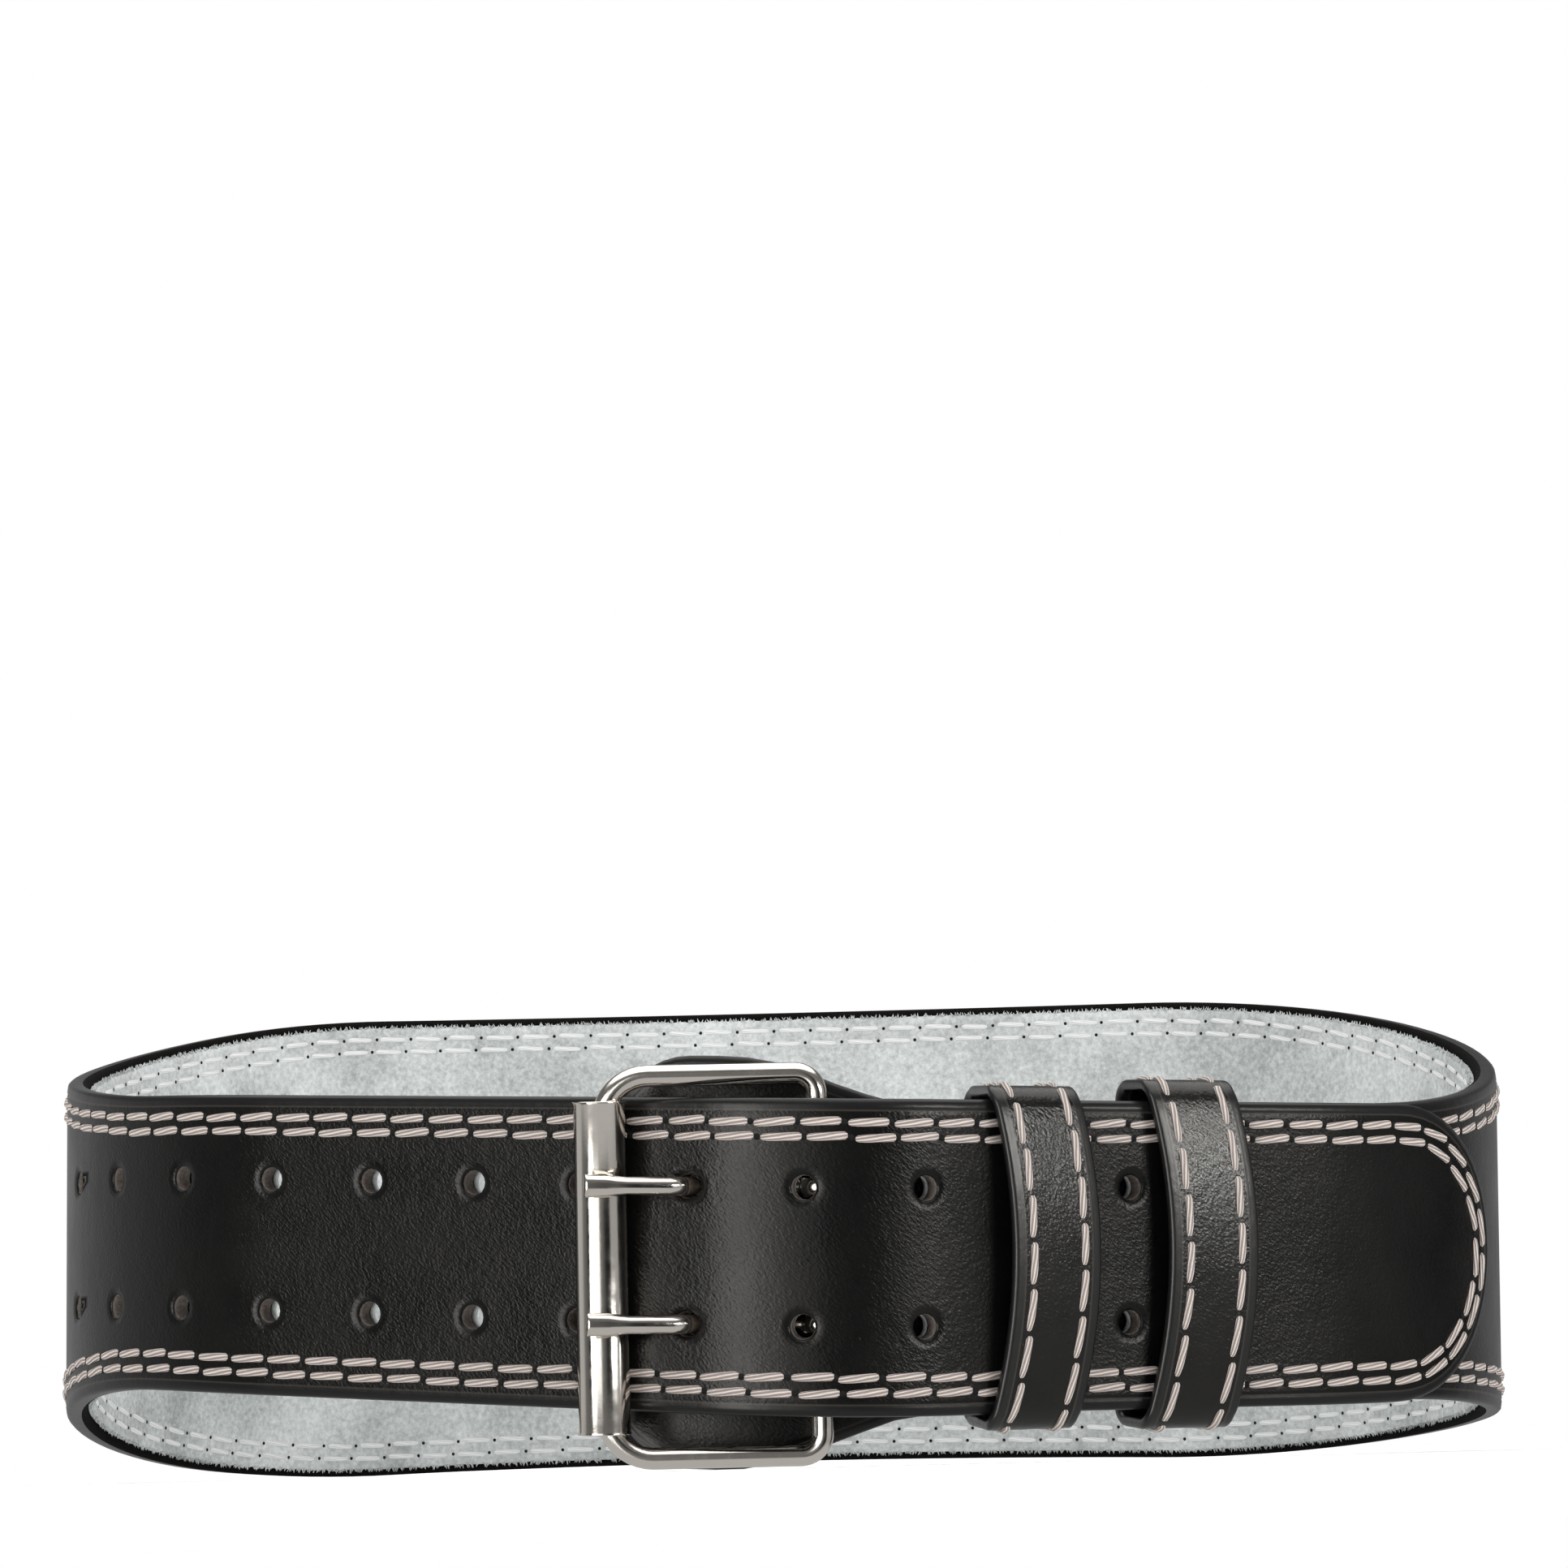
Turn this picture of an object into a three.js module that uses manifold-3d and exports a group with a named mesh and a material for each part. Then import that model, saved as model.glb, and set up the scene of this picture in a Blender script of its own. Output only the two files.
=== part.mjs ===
// A leather lifting belt, buckled into its loop and standing on its lower edges.
// Millimetres, +Z up. The buckle faces -Y, the wide back is at +Y and the strap's tip points to +X.
// Seen from above the band runs once round, counterclockwise: from the paddle end behind the
// buckle, under the strap, round the right bend, the back and the left bend, and then out over
// the buckle's bar to the tip. Its outline and holes lie along that route.
import * as THREE from 'three';
import { mergeVertices } from 'three/addons/utils/BufferGeometryUtils.js';
import Module from 'manifold-3d';

const wasm = await Module();
wasm.setup();

// Band: a thick leather with a suede lining glued inside it
const leatherThickness = 4.8;
const liningThickness = 1.3;
const seatGap = 0.3;            // left between pieces that touch
const edgeBevel = 1.2;
const liningInset = 2.0;        // the leather's bare rim beyond the lining
const strapWidth = 63.5;
const backWidth = 114.3;
const paddleWidth = 84;

// Route of the outer face, seen from above: turns in degrees, radii in millimetres
const frontLeftTurn = 28.5;
const frontRightTurn = 26;
const strapBendRadius = 54;     // the strap's peak over the buckle's bar
const noseRadius = 80;          // the inner layer behind the buckle
const leftBendTurn = 137.5;
const leftBendRadius = 108.5;
const backTurn = 34;
const backRadius = 306;
const rightBendRadius = 105;
const rampLength = 54;          // over which the layers close up beside the buckle
const layerPlay = 0.5;          // between the strap and the layer under it

// Lengths along the band
const rightTaperStart = 129;    // from the bar, round the right side
const leftTaperStart = 166;     // from the bar, round the left side
const rightTaperLength = 223;
const leftTaperLength = 207;
const paddleDrop = 1.7;         // the inner end hangs this much lower than the strap
const paddleDropLength = 40;    // right of the bar, over which the drop runs out
const paddleReach = 55.5;       // from the bar to the paddle's round end
const paddleRound = 26;
const flareEnd = 17;            // right of the bar, where the flare has run out
const tipReach = 175;           // from the bar to the tip
const tipRound = 36;

// Punched holes, in pairs
const holePairs = 12;
const holePitch = 25.4;
const holeRows = 27.7;
const holeDiameter = 5;
const holeAtBar = 5.5;          // from the bar back to the hole beside it
const pairsPastBar = 3;

// Buckle: a wire frame with a roller and two prongs, held by a folded leather tab
const wireDiameter = 4.4;
const frameSideRoom = 4.5;      // between the strap's edges and the frame
const barToRoller = 43.5;
const barFromPeak = 2.1;        // the bar lies this far left of the strap's peak
const rollerSideRadius = 9.3;
const barSideRadius = 4.4;
const buckleDrop = 1.5;
const buckleLean = 1.6;         // degrees, the frame's top towards the left
const rollerDiameter = 10.5;
const rollerWall = 0.9;
const rollerOverhang = 1.7;
const rollerShift = 0.5;        // the loose roller lies this far left on its bar
const prongDiameter = 3.9;
const prongOverhang = 1.9;      // past the roller's middle
const prongSpadeWidth = 4.6;
const prongSpadeLength = 8.5;   // hammered flat at the tip, the back half of it tapering
const eyeThickness = 2.0;
const tabLeaf = 2.6;
const tabLength = 34;
const tabMargin = 2;
const tabSlotRoom = 0.5;
const prongRoom = 0.35;

// Keeper loops
const keeperWidth = 21;
const keeperThickness = 2.3;
const keeperCorner = 4.6;
// Slide is how far the front's ends lie from the back along the strap, and bow how far its middle
// lies from its ends
const keepers = [
  { name: 'keeper_inner', fromBar: 52, play: 0.8, lift: -0.2, slide: -7, bow: 4.4 },
  { name: 'keeper_outer', fromBar: 86, play: 2.0, lift: 0.2, slide: -2, bow: 5 },
];

// Set of the whole belt
const frontTwist = 1.8;         // degrees, the front against the back
const twistAxisX = 85;          // right of the buckle
const twistFullDepth = 60;      // behind the front, up to where the twist is whole
const twistEndDepth = 220;
const peakX = 8.5;

const degree = Math.PI / 180;
const plyThickness = leatherThickness + seatGap + liningThickness;
const stackHeight = plyThickness + 4 * seatGap + 2 * tabLeaf + wireDiameter;
const layerStep = plyThickness + layerPlay;
const barDepth = plyThickness + 2 * seatGap + tabLeaf + wireDiameter / 2;

function smooth(share) {
  const s = Math.min(Math.max(share, 0), 1);
  return s * s * (3 - 2 * s);
}

// Distance between the outer faces of the two layers, this far from the buckle's bar
function layerDistance(fromBar) {
  return layerStep + (stackHeight - layerStep) * (1 - smooth(Math.abs(fromBar) / rampLength));
}

// The loop as arcs and two straights, whose lengths close it
function loopPieces() {
  const rightBendTurn = 360 - frontLeftTurn - frontRightTurn - leftBendTurn - backTurn;
  const pieces = [
    { radius: noseRadius, turn: frontRightTurn },
    { straight: 0 },
    { radius: rightBendRadius, turn: rightBendTurn },
    { radius: backRadius, turn: backTurn },
    { radius: leftBendRadius, turn: leftBendTurn },
    { straight: 0 },
    { radius: strapBendRadius, turn: frontLeftTurn },
  ];
  const end = tracePieces(pieces, Infinity);
  const a = frontRightTurn * degree;
  const b = (360 - frontLeftTurn) * degree;
  const missX = -end.x;
  const missY = -stackHeight - end.y;
  const turnBetween = Math.sin(b - a);
  pieces[1].straight = (missX * Math.sin(b) - missY * Math.cos(b)) / turnBetween;
  pieces[5].straight = (missY * Math.cos(a) - missX * Math.sin(a)) / turnBetween;
  return pieces;
}

// Walks the pieces from the bar for a length and returns the place reached, from the bar
function tracePieces(pieces, length) {
  let [x, y, heading, left] = [0, 0, 0, length];
  for (const piece of pieces) {
    if (piece.radius) {
      const full = piece.radius * piece.turn * degree;
      const next = heading + Math.min(left, full) / piece.radius;
      x += piece.radius * (Math.sin(next) - Math.sin(heading));
      y += piece.radius * (Math.cos(heading) - Math.cos(next));
      heading = next;
      left -= Math.min(left, full);
    } else {
      const run = Math.min(left, piece.straight);
      x += run * Math.cos(heading);
      y += run * Math.sin(heading);
      left -= run;
    }
  }
  return { x, y, heading };
}

const loop = loopPieces();
const loopLength = loop.reduce((sum, p) => sum + (p.straight ?? p.radius * p.turn * degree), 0);

// A point beside the loop's outer face, this far outward from it
function besideLoop(length, outward) {
  const spot = tracePieces(loop, length);
  return new THREE.Vector2(
    peakX + spot.x + outward * Math.sin(spot.heading),
    stackHeight + spot.y - outward * Math.cos(spot.heading),
  );
}

// The route's points: paddle inside the strap, the loop, then the strap outside the loop
function sampleRoute() {
  const step = 1.0;
  const points = [];
  const addRun = (count, place) => {
    for (let i = 0; i < count; i++) points.push(place(i / count));
  };
  addRun(Math.round(paddleReach / step), (share) => {
    const fromBar = paddleReach * (1 - share);
    return besideLoop(loopLength - fromBar, -layerDistance(fromBar));
  });
  const barInside = points.length;
  addRun(Math.round(loopLength / step), (share) => besideLoop(loopLength * share, 0));
  const barOutside = points.length;
  const strapRun = tipReach * 1.15;
  addRun(Math.round(strapRun / step), (share) => {
    const fromBar = strapRun * share;
    return besideLoop(fromBar, layerDistance(fromBar));
  });
  const lengths = [0];
  for (let i = 1; i < points.length; i++) {
    lengths.push(lengths[i - 1] + points[i].distanceTo(points[i - 1]));
  }
  return { points, lengths, barInside: lengths[barInside], barOutside: lengths[barOutside] };
}

const route = sampleRoute();
const bandEnd = route.barOutside + tipReach;

function pointOnRoute(length) {
  const { points, lengths } = route;
  let i = 1;
  while (i < points.length - 1 && lengths[i] < length) i++;
  const share = (length - lengths[i - 1]) / (lengths[i] - lengths[i - 1]);
  return points[i - 1].clone().lerp(points[i], share);
}

// Place, forward direction and outward direction of the outer face at a length along the band
function frameAt(length) {
  const reach = 1.5;
  const at = pointOnRoute(length);
  const forward = pointOnRoute(length + reach).sub(pointOnRoute(length - reach)).normalize();
  return { at, forward, outward: new THREE.Vector2(forward.y, -forward.x) };
}

// Half width of the leather along the band
const paddleTop = route.barInside - paddleReach + paddleRound;
const neck = route.barInside + flareEnd;
const flare = [
  { along: 0.00, extra: 1.00 },
  { along: 0.14, extra: 1.00 },
  { along: 0.27, extra: 0.97 },
  { along: 0.40, extra: 0.87 },
  { along: 0.54, extra: 0.66 },
  { along: 0.69, extra: 0.40 },
  { along: 0.82, extra: 0.20 },
  { along: 0.91, extra: 0.07 },
  { along: 1.00, extra: 0.00 },
];

function roundEnd(share) {
  return Math.sqrt(Math.max(0, 1 - share * share));
}

function halfWidth(length) {
  const strap = strapWidth / 2;
  if (length < paddleTop) {
    return (paddleWidth / 2) * roundEnd((paddleTop - length) / paddleRound);
  }
  if (length < neck) {
    const along = (length - paddleTop) / (neck - paddleTop);
    const row = flare.findIndex((r) => r.along >= along);
    const [a, b] = [flare[Math.max(row - 1, 0)], flare[row]];
    const share = row === 0 ? 0 : (along - a.along) / (b.along - a.along);
    return strap + (paddleWidth / 2 - strap) * (a.extra + (b.extra - a.extra) * share);
  }
  const tipStart = bandEnd - tipRound;
  if (length > tipStart) return strap * roundEnd((length - tipStart) / tipRound);
  const widen = smooth((length - route.barInside - rightTaperStart) / rightTaperLength);
  const narrow = smooth((route.barOutside - leftTaperStart - length) / leftTaperLength);
  return strap + (backWidth / 2 - strap) * Math.min(widen, narrow);
}

// Height of the band's middle line
function middleHeight(length) {
  return -paddleDrop * (1 - smooth((length - route.barInside) / paddleDropLength));
}

// Lengths at which the band gets a section: at its corners, and often enough to follow its bends
function bandStations(inset) {
  const turnStep = 6.5 * degree;
  const longest = 48;
  const endSteps = [0.14, 0.3, 0.5, 0.7, 0.86];
  const taperSteps = [0, 0.12, 0.25, 0.4, 0.6, 0.75, 0.88, 1];
  const first = inset;
  const last = bandEnd - inset;
  const corners = [
    first + 0.6,
    ...endSteps.map((s) => first + (paddleTop - first) * s * s),
    ...flare.map((r) => paddleTop + (neck - paddleTop) * r.along),
    ...taperSteps.map((s) => route.barInside + rightTaperStart + rightTaperLength * s),
    ...taperSteps.map((s) => route.barOutside - leftTaperStart - leftTaperLength * s).reverse(),
    route.barOutside,
    bandEnd - tipRound,
    ...endSteps.map((s) => last - (tipRound - inset) * s * s).reverse(),
    last - 0.6,
  ];
  const stations = [corners[0]];
  for (const corner of corners.slice(1)) {
    const start = stations[stations.length - 1];
    const slices = Math.max(4, Math.ceil((corner - start) / 2));
    const lengthOf = (i) => start + ((corner - start) * i) / slices;
    const share = [0];
    for (let i = 0; i < slices; i++) {
      const turn = Math.abs(frameAt(lengthOf(i)).forward.cross(frameAt(lengthOf(i + 1)).forward));
      share.push(share[i] + turn / turnStep + (corner - start) / slices / longest);
    }
    const steps = Math.ceil(share[slices]);
    for (let step = 1, i = 1; step <= steps; step++) {
      while (i < slices && share[i] < (share[slices] * step) / steps) i++;
      stations.push(step === steps ? corner : lengthOf(i));
    }
  }
  return stations;
}

// Joins equal closed sections, one after another, into a solid; ends are capped or the run closes
function sweep(sections, closed = false) {
  const count = sections[0].length;
  const indices = [];
  const rings = closed ? sections.length : sections.length - 1;
  for (let i = 0; i < rings; i++) {
    const next = (i + 1) % sections.length;
    for (let j = 0; j < count; j++) {
      const k = (j + 1) % count;
      const [a, b] = [i * count + j, i * count + k];
      const [c, d] = [next * count + k, next * count + j];
      indices.push(a, b, c, a, c, d);
    }
  }
  if (!closed) {
    const end = (sections.length - 1) * count;
    for (let j = 1; j < count - 1; j++) {
      indices.push(0, j + 1, j);
      indices.push(end, end + j, end + j + 1);
    }
  }
  const geometry = new THREE.BufferGeometry();
  const values = sections.flat().flatMap((p) => [p.x, p.y, p.z]);
  geometry.setAttribute('position', new THREE.Float32BufferAttribute(values, 3));
  geometry.setIndex(indices);
  return facingOut(geometry);
}

function facingOut(geometry) {
  const p = geometry.attributes.position;
  const index = geometry.index.array;
  const [a, b, c] = [new THREE.Vector3(), new THREE.Vector3(), new THREE.Vector3()];
  let volume = 0;
  for (let i = 0; i < index.length; i += 3) {
    a.fromBufferAttribute(p, index[i]);
    b.fromBufferAttribute(p, index[i + 1]);
    c.fromBufferAttribute(p, index[i + 2]);
    volume += a.dot(b.cross(c));
  }
  if (volume < 0) {
    for (let i = 0; i < index.length; i += 3) {
      [index[i + 1], index[i + 2]] = [index[i + 2], index[i + 1]];
    }
  }
  return geometry;
}

function merged(geometry) {
  const bare = geometry.clone();
  bare.deleteAttribute('normal');
  bare.deleteAttribute('uv');
  return mergeVertices(bare, 1e-4);
}

function toSolid(geometry) {
  const mesh = merged(geometry);
  return new wasm.Manifold(new wasm.Mesh({
    numProp: 3,
    vertProperties: new Float32Array(mesh.attributes.position.array),
    triVerts: new Uint32Array(mesh.index.array),
  }));
}

function toGeometry(solid) {
  const mesh = solid.getMesh();
  const geometry = new THREE.BufferGeometry();
  geometry.setAttribute('position', new THREE.BufferAttribute(mesh.vertProperties, 3));
  geometry.setIndex(new THREE.BufferAttribute(mesh.triVerts, 1));
  return geometry;
}

function cutAway(geometry, cutters) {
  return toGeometry(cutters.reduce((solid, cutter) => solid.subtract(toSolid(cutter)), toSolid(geometry)));
}

function at3(frame, outward, z) {
  const spot = frame.at.clone().addScaledVector(frame.outward, outward);
  return new THREE.Vector3(spot.x, spot.y, z);
}

// Leather with bevelled edges, between its outer face and its inner face
function leatherBand() {
  const sections = bandStations(0).map((length) => {
    const frame = frameAt(length);
    const half = halfWidth(length);
    const bevel = Math.min(edgeBevel, half / 3);
    const side = [
      [0, half - bevel],
      [-bevel, half],
      [bevel - leatherThickness, half],
      [-leatherThickness, half - bevel],
    ];
    const mirrored = side.map(([out, z]) => [out, -z]).reverse();
    return [...side, ...mirrored].map(([out, z]) => at3(frame, out, z + middleHeight(length)));
  });
  return sweep(sections);
}

function liningBand() {
  const outer = -leatherThickness - seatGap;
  const inner = outer - liningThickness;
  const sections = bandStations(liningInset).map((length) => {
    const frame = frameAt(length);
    const fullHalf = halfWidth(length);
    const half = Math.max(fullHalf - liningInset, fullHalf / 3);
    return [[outer, half], [inner, half], [inner, -half], [outer, -half]]
      .map(([out, z]) => at3(frame, out, z + middleHeight(length)));
  });
  return sweep(sections);
}

// Punches for the hole pairs, square to the strap and clear of the layer under it
function holePunches() {
  const sides = 12;
  const proud = 1;
  const through = plyThickness + layerPlay / 2;
  const punches = [];
  for (let pair = 0; pair < holePairs; pair++) {
    const length = route.barOutside - holeAtBar + (pairsPastBar - pair) * holePitch;
    const frame = frameAt(length);
    for (const z of [-holeRows / 2, holeRows / 2]) {
      const radius = holeDiameter / 2;
      const punch = new THREE.CylinderGeometry(radius, radius, proud + through, sides);
      punch.rotateZ(Math.atan2(-frame.outward.x, frame.outward.y));
      const middle = at3(frame, (proud - through) / 2, z);
      punches.push(punch.translate(middle.x, middle.y, middle.z));
    }
  }
  return punches;
}

// Buckle, in plan: the bar under the strap, the roller clear in front of the strap
const frameHalfHeight = strapWidth / 2 + frameSideRoom + wireDiameter / 2;
const rollerLength = strapWidth + 2 * rollerOverhang;
const bar = new THREE.Vector2(peakX - barFromPeak, barDepth);
const roller = rollerPlace();
const rollerBar = rollerBarPlace();

function rollerPlace() {
  const leanReach = (rollerLength / 2) * Math.tan(buckleLean * degree);
  const standOff = rollerDiameter / 2 + seatGap + leanReach * Math.sin(frontLeftTurn * degree);
  const wantedX = bar.x - barToRoller - rollerShift;
  let length = route.barOutside;
  let spot = pointOnRoute(length);
  while (spot.x > wantedX) {
    length -= 0.25;
    const frame = frameAt(length);
    spot = frame.at.clone().addScaledVector(frame.outward, standOff);
  }
  return spot;
}

// Leans what belongs to the frame about its bar, seen from the front
function leanWithBuckle(geometry) {
  const turn = new THREE.Matrix4().makeRotationY(-buckleLean * degree);
  return geometry.translate(-bar.x, -bar.y, buckleDrop).applyMatrix4(turn)
    .translate(bar.x, bar.y, -buckleDrop);
}

// A prong's eye stays centred on the leaning bar
function barAside(z) {
  return -(z + buckleDrop) * Math.tan(buckleLean * degree);
}

// The frame's wire runs inside the roller, towards its front; the roller's ends reach past the
// start of the frame's bends
function rollerBarPlace() {
  const slack = (rollerDiameter - wireDiameter) / 2 - rollerWall - seatGap;
  const overBend = rollerLength / 2 - (frameHalfHeight - rollerSideRadius);
  const bendIn = rollerSideRadius * (1 - roundEnd(overBend / rollerSideRadius));
  const aside = rollerShift + bendIn;
  const back = Math.sqrt(Math.max(0, slack * slack - aside * aside));
  return new THREE.Vector2(roller.x + rollerShift, roller.y - back);
}

function ringOf(radius, sides, place) {
  return Array.from({ length: sides }, (_, i) => {
    const angle = (2 * Math.PI * i) / sides;
    return place(radius * Math.cos(angle), radius * Math.sin(angle));
  });
}

function buckleFrame() {
  const sides = 10;
  const across = bar.clone().sub(rollerBar);
  const reach = across.length();
  across.normalize();
  const facing = new THREE.Vector2(across.y, -across.x);
  const halfHeight = frameHalfHeight;
  const corners = [
    { a: reach, z: -halfHeight, radius: barSideRadius, from: -90 },
    { a: reach, z: halfHeight, radius: barSideRadius, from: 0 },
    { a: 0, z: halfHeight, radius: rollerSideRadius, from: 90 },
    { a: 0, z: -halfHeight, radius: rollerSideRadius, from: 180 },
  ];
  const steps = 6;
  const sections = [];
  for (const corner of corners) {
    const middleA = corner.a + (corner.a > 0 ? -1 : 1) * corner.radius;
    const middleZ = corner.z + (corner.z > 0 ? -1 : 1) * corner.radius;
    for (let i = 0; i <= steps; i++) {
      const angle = (corner.from + (90 * i) / steps) * degree;
      const [ca, cz] = [Math.cos(angle), Math.sin(angle)];
      sections.push(ringOf(wireDiameter / 2, sides, (u, v) => {
        const a = middleA + (corner.radius + u) * ca;
        const z = middleZ + (corner.radius + u) * cz;
        const spot = rollerBar.clone().addScaledVector(across, a).addScaledVector(facing, v);
        return new THREE.Vector3(spot.x, spot.y, z - buckleDrop);
      }));
    }
  }
  return leanWithBuckle(sweep(sections, true));
}

function turnedTube(inner, outer, length, chamfer, sides) {
  const half = length / 2;
  const profile = [
    [inner, -half], [outer - chamfer, -half], [outer, chamfer - half],
    [outer, half - chamfer], [outer - chamfer, half], [inner, half], [inner, -half],
  ].map(([r, h]) => new THREE.Vector2(r, h));
  return merged(new THREE.LatheGeometry(profile, sides).rotateX(Math.PI / 2));
}

function buckleRoller() {
  const radius = rollerDiameter / 2;
  const tube = turnedTube(radius - rollerWall, radius, rollerLength, 0.4, 20);
  return leanWithBuckle(facingOut(tube.translate(roller.x, roller.y, -buckleDrop)));
}

// Centre line of a prong in plan: from its eye, through the strap, over the roller
function prongLine() {
  const eyeRadius = wireDiameter / 2 + seatGap + eyeThickness / 2;
  const start = bar.clone().add(new THREE.Vector2(-eyeRadius, 0));
  const over = rollerDiameter / 2 + seatGap + prongDiameter / 2;
  const crest = roller.clone().add(new THREE.Vector2(0, -over));
  const along = crest.clone().sub(start).normalize();
  const end = crest.clone().addScaledVector(along, prongOverhang);
  return { start, end, along };
}

// Rod along the prong's line; its last stretch is hammered to a wider, thinner spade
function prongRod(z, radius, spade) {
  const sides = 10;
  const { start, end, along } = prongLine();
  const facing = new THREE.Vector2(-along.y, along.x);
  const length = start.distanceTo(end);
  const widen = spade ? prongSpadeWidth / prongDiameter : 1;
  const thin = spade ? 0.82 : 1;
  const rows = [
    { at: 0, wide: 1, thick: 1 },
    { at: length - prongSpadeLength, wide: 1, thick: 1 },
    { at: length - prongSpadeLength / 2, wide: widen, thick: thin },
    { at: length, wide: widen, thick: thin },
  ];
  return sweep(rows.map((row) => ringOf(radius, sides, (u, v) => {
    const spot = start.clone().addScaledVector(along, row.at).addScaledVector(facing, v * row.thick);
    return new THREE.Vector3(spot.x + barAside(z), spot.y, z + u * row.wide);
  })));
}

function prong(z) {
  const inner = wireDiameter / 2 + seatGap;
  const eye = turnedTube(inner, inner + eyeThickness, prongSpadeWidth, 0.3, 16);
  eye.translate(bar.x + barAside(z), bar.y, z);
  return toGeometry(toSolid(facingOut(eye)).add(toSolid(prongRod(z, prongDiameter / 2, true))));
}

// Leather tab folded round the bar; its tail is skived thin where the two layers close up
function buckleTab() {
  const foldRadius = wireDiameter / 2 + seatGap + tabLeaf;
  const outline = [];
  const foldSteps = 10;
  for (let i = 0; i <= foldSteps; i++) {
    const angle = (-90 - (180 * i) / foldSteps) * degree;
    outline.push(bar.clone().add(
      new THREE.Vector2(Math.cos(angle), Math.sin(angle)).multiplyScalar(foldRadius),
    ));
  }
  const tailSteps = 6;
  const front = [];
  for (let i = 1; i <= tailSteps; i++) {
    const along = (tabLength * i) / tailSteps;
    const frame = frameAt(route.barInside + along);
    const room = layerDistance(along) - plyThickness - 2 * seatGap;
    const thickness = room - (0.9 * along) / tabLength;
    outline.push(frame.at.clone().addScaledVector(frame.outward, seatGap));
    front.push(frame.at.clone().addScaledVector(frame.outward, seatGap + thickness));
  }
  const width = strapWidth - 2 * tabMargin;
  const shape = new THREE.Shape([...outline, ...front.reverse()]);
  const body = new THREE.ExtrudeGeometry(shape, { depth: width, bevelEnabled: false });
  body.translate(0, 0, -width / 2);
  const clear = wireDiameter / 2 + seatGap;
  const barHole = new THREE.CylinderGeometry(clear, clear, 2 * width, 16).rotateX(Math.PI / 2);
  const cutters = [leanWithBuckle(barHole.translate(bar.x, bar.y, 0))];
  const eyeReach = clear + eyeThickness + tabSlotRoom;
  for (const z of [-holeRows / 2, holeRows / 2]) {
    const slot = new THREE.BoxGeometry(4 * eyeReach, 6 * eyeReach, prongSpadeWidth + 2 * tabSlotRoom);
    cutters.push(slot.translate(bar.x - eyeReach, bar.y, z));
  }
  return cutAway(body, cutters);
}

// Closed leather loop round the strap and the layer under it, square to the two at its back
function keeperLoop({ fromBar, play, lift, slide, bow }) {
  const strap = frameAt(route.barOutside + fromBar);
  const forward = strap.forward.clone().add(frameAt(route.barInside + fromBar).forward).normalize();
  const middle = { at: strap.at, forward, outward: new THREE.Vector2(forward.y, -forward.x) };
  const placeOf = (point) => {
    const from = point.clone().sub(middle.at);
    return { along: from.dot(middle.forward), out: from.dot(middle.outward) };
  };
  const [low, high] = [Math.min(slide, slide + bow, 0), Math.max(slide, slide + bow, 0)];
  const isWithin = ({ along }) => {
    return along > low - keeperWidth / 2 - 1 && along < high + keeperWidth / 2 + 1;
  };
  let [nearest, farthest] = [-Infinity, Infinity];
  for (let offset = 2 * low - keeperWidth; offset <= 2 * high + keeperWidth; offset += 0.5) {
    const over = placeOf(pointOnRoute(route.barOutside + fromBar + offset));
    if (isWithin(over)) nearest = Math.max(nearest, over.out);
    const under = frameAt(route.barInside + fromBar + offset);
    const inside = placeOf(under.at.clone().addScaledVector(under.outward, -plyThickness));
    if (isWithin(inside)) farthest = Math.min(farthest, inside.out);
  }
  const half = strapWidth / 2 + play;
  const outline = (grow, corner) => roundedRectangle({
    left: farthest - seatGap - grow,
    right: nearest + seatGap + grow,
    low: lift - half - grow,
    high: lift + half + grow,
    radius: corner,
  });
  const shape = new THREE.Shape(outline(keeperThickness, keeperCorner));
  shape.holes.push(new THREE.Path(outline(0, Math.max(keeperCorner - keeperThickness, 0.5))));
  const bevel = 0.5;
  const body = new THREE.ExtrudeGeometry(shape, {
    depth: keeperWidth - 2 * bevel,
    bevelEnabled: true,
    bevelSize: bevel,
    bevelOffset: -bevel,
    bevelThickness: bevel,
    bevelSegments: 1,
  });
  body.translate(0, 0, bevel - keeperWidth / 2);
  const p = body.attributes.position;
  for (let i = 0; i < p.count; i++) {
    const depth = THREE.MathUtils.clamp((p.getX(i) - farthest) / (nearest - farthest), 0, 1);
    const height = THREE.MathUtils.clamp((p.getY(i) - lift) / half, -1, 1);
    p.setZ(i, p.getZ(i) + depth * (slide + bow * (1 - height * height)));
  }
  body.applyMatrix4(new THREE.Matrix4().set(
    middle.outward.x, 0, forward.x, middle.at.x,
    middle.outward.y, 0, forward.y, middle.at.y,
    0, 1, 0, 0,
    0, 0, 0, 1,
  ));
  return facingOut(merged(body));
}

// Outline with round corners and a few points along its upright sides, which can be bowed
function roundedRectangle({ left, right, low, high, radius }) {
  const cornerSteps = 5;
  const sideSteps = 8;
  const points = [];
  const corners = [
    [right - radius, high - radius, 0], [left + radius, high - radius, 90],
    [left + radius, low + radius, 180], [right - radius, low + radius, 270],
  ];
  for (const [x, y, from] of corners) {
    for (let i = 0; i <= cornerSteps; i++) {
      const angle = (from + (90 * i) / cornerSteps) * degree;
      points.push(new THREE.Vector2(x + radius * Math.cos(angle), y + radius * Math.sin(angle)));
    }
  }
  for (let i = 1; i < sideSteps; i++) {
    points.push(new THREE.Vector2(right, low + radius + ((high - low - 2 * radius) * i) / sideSteps));
  }
  return points;
}

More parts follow.
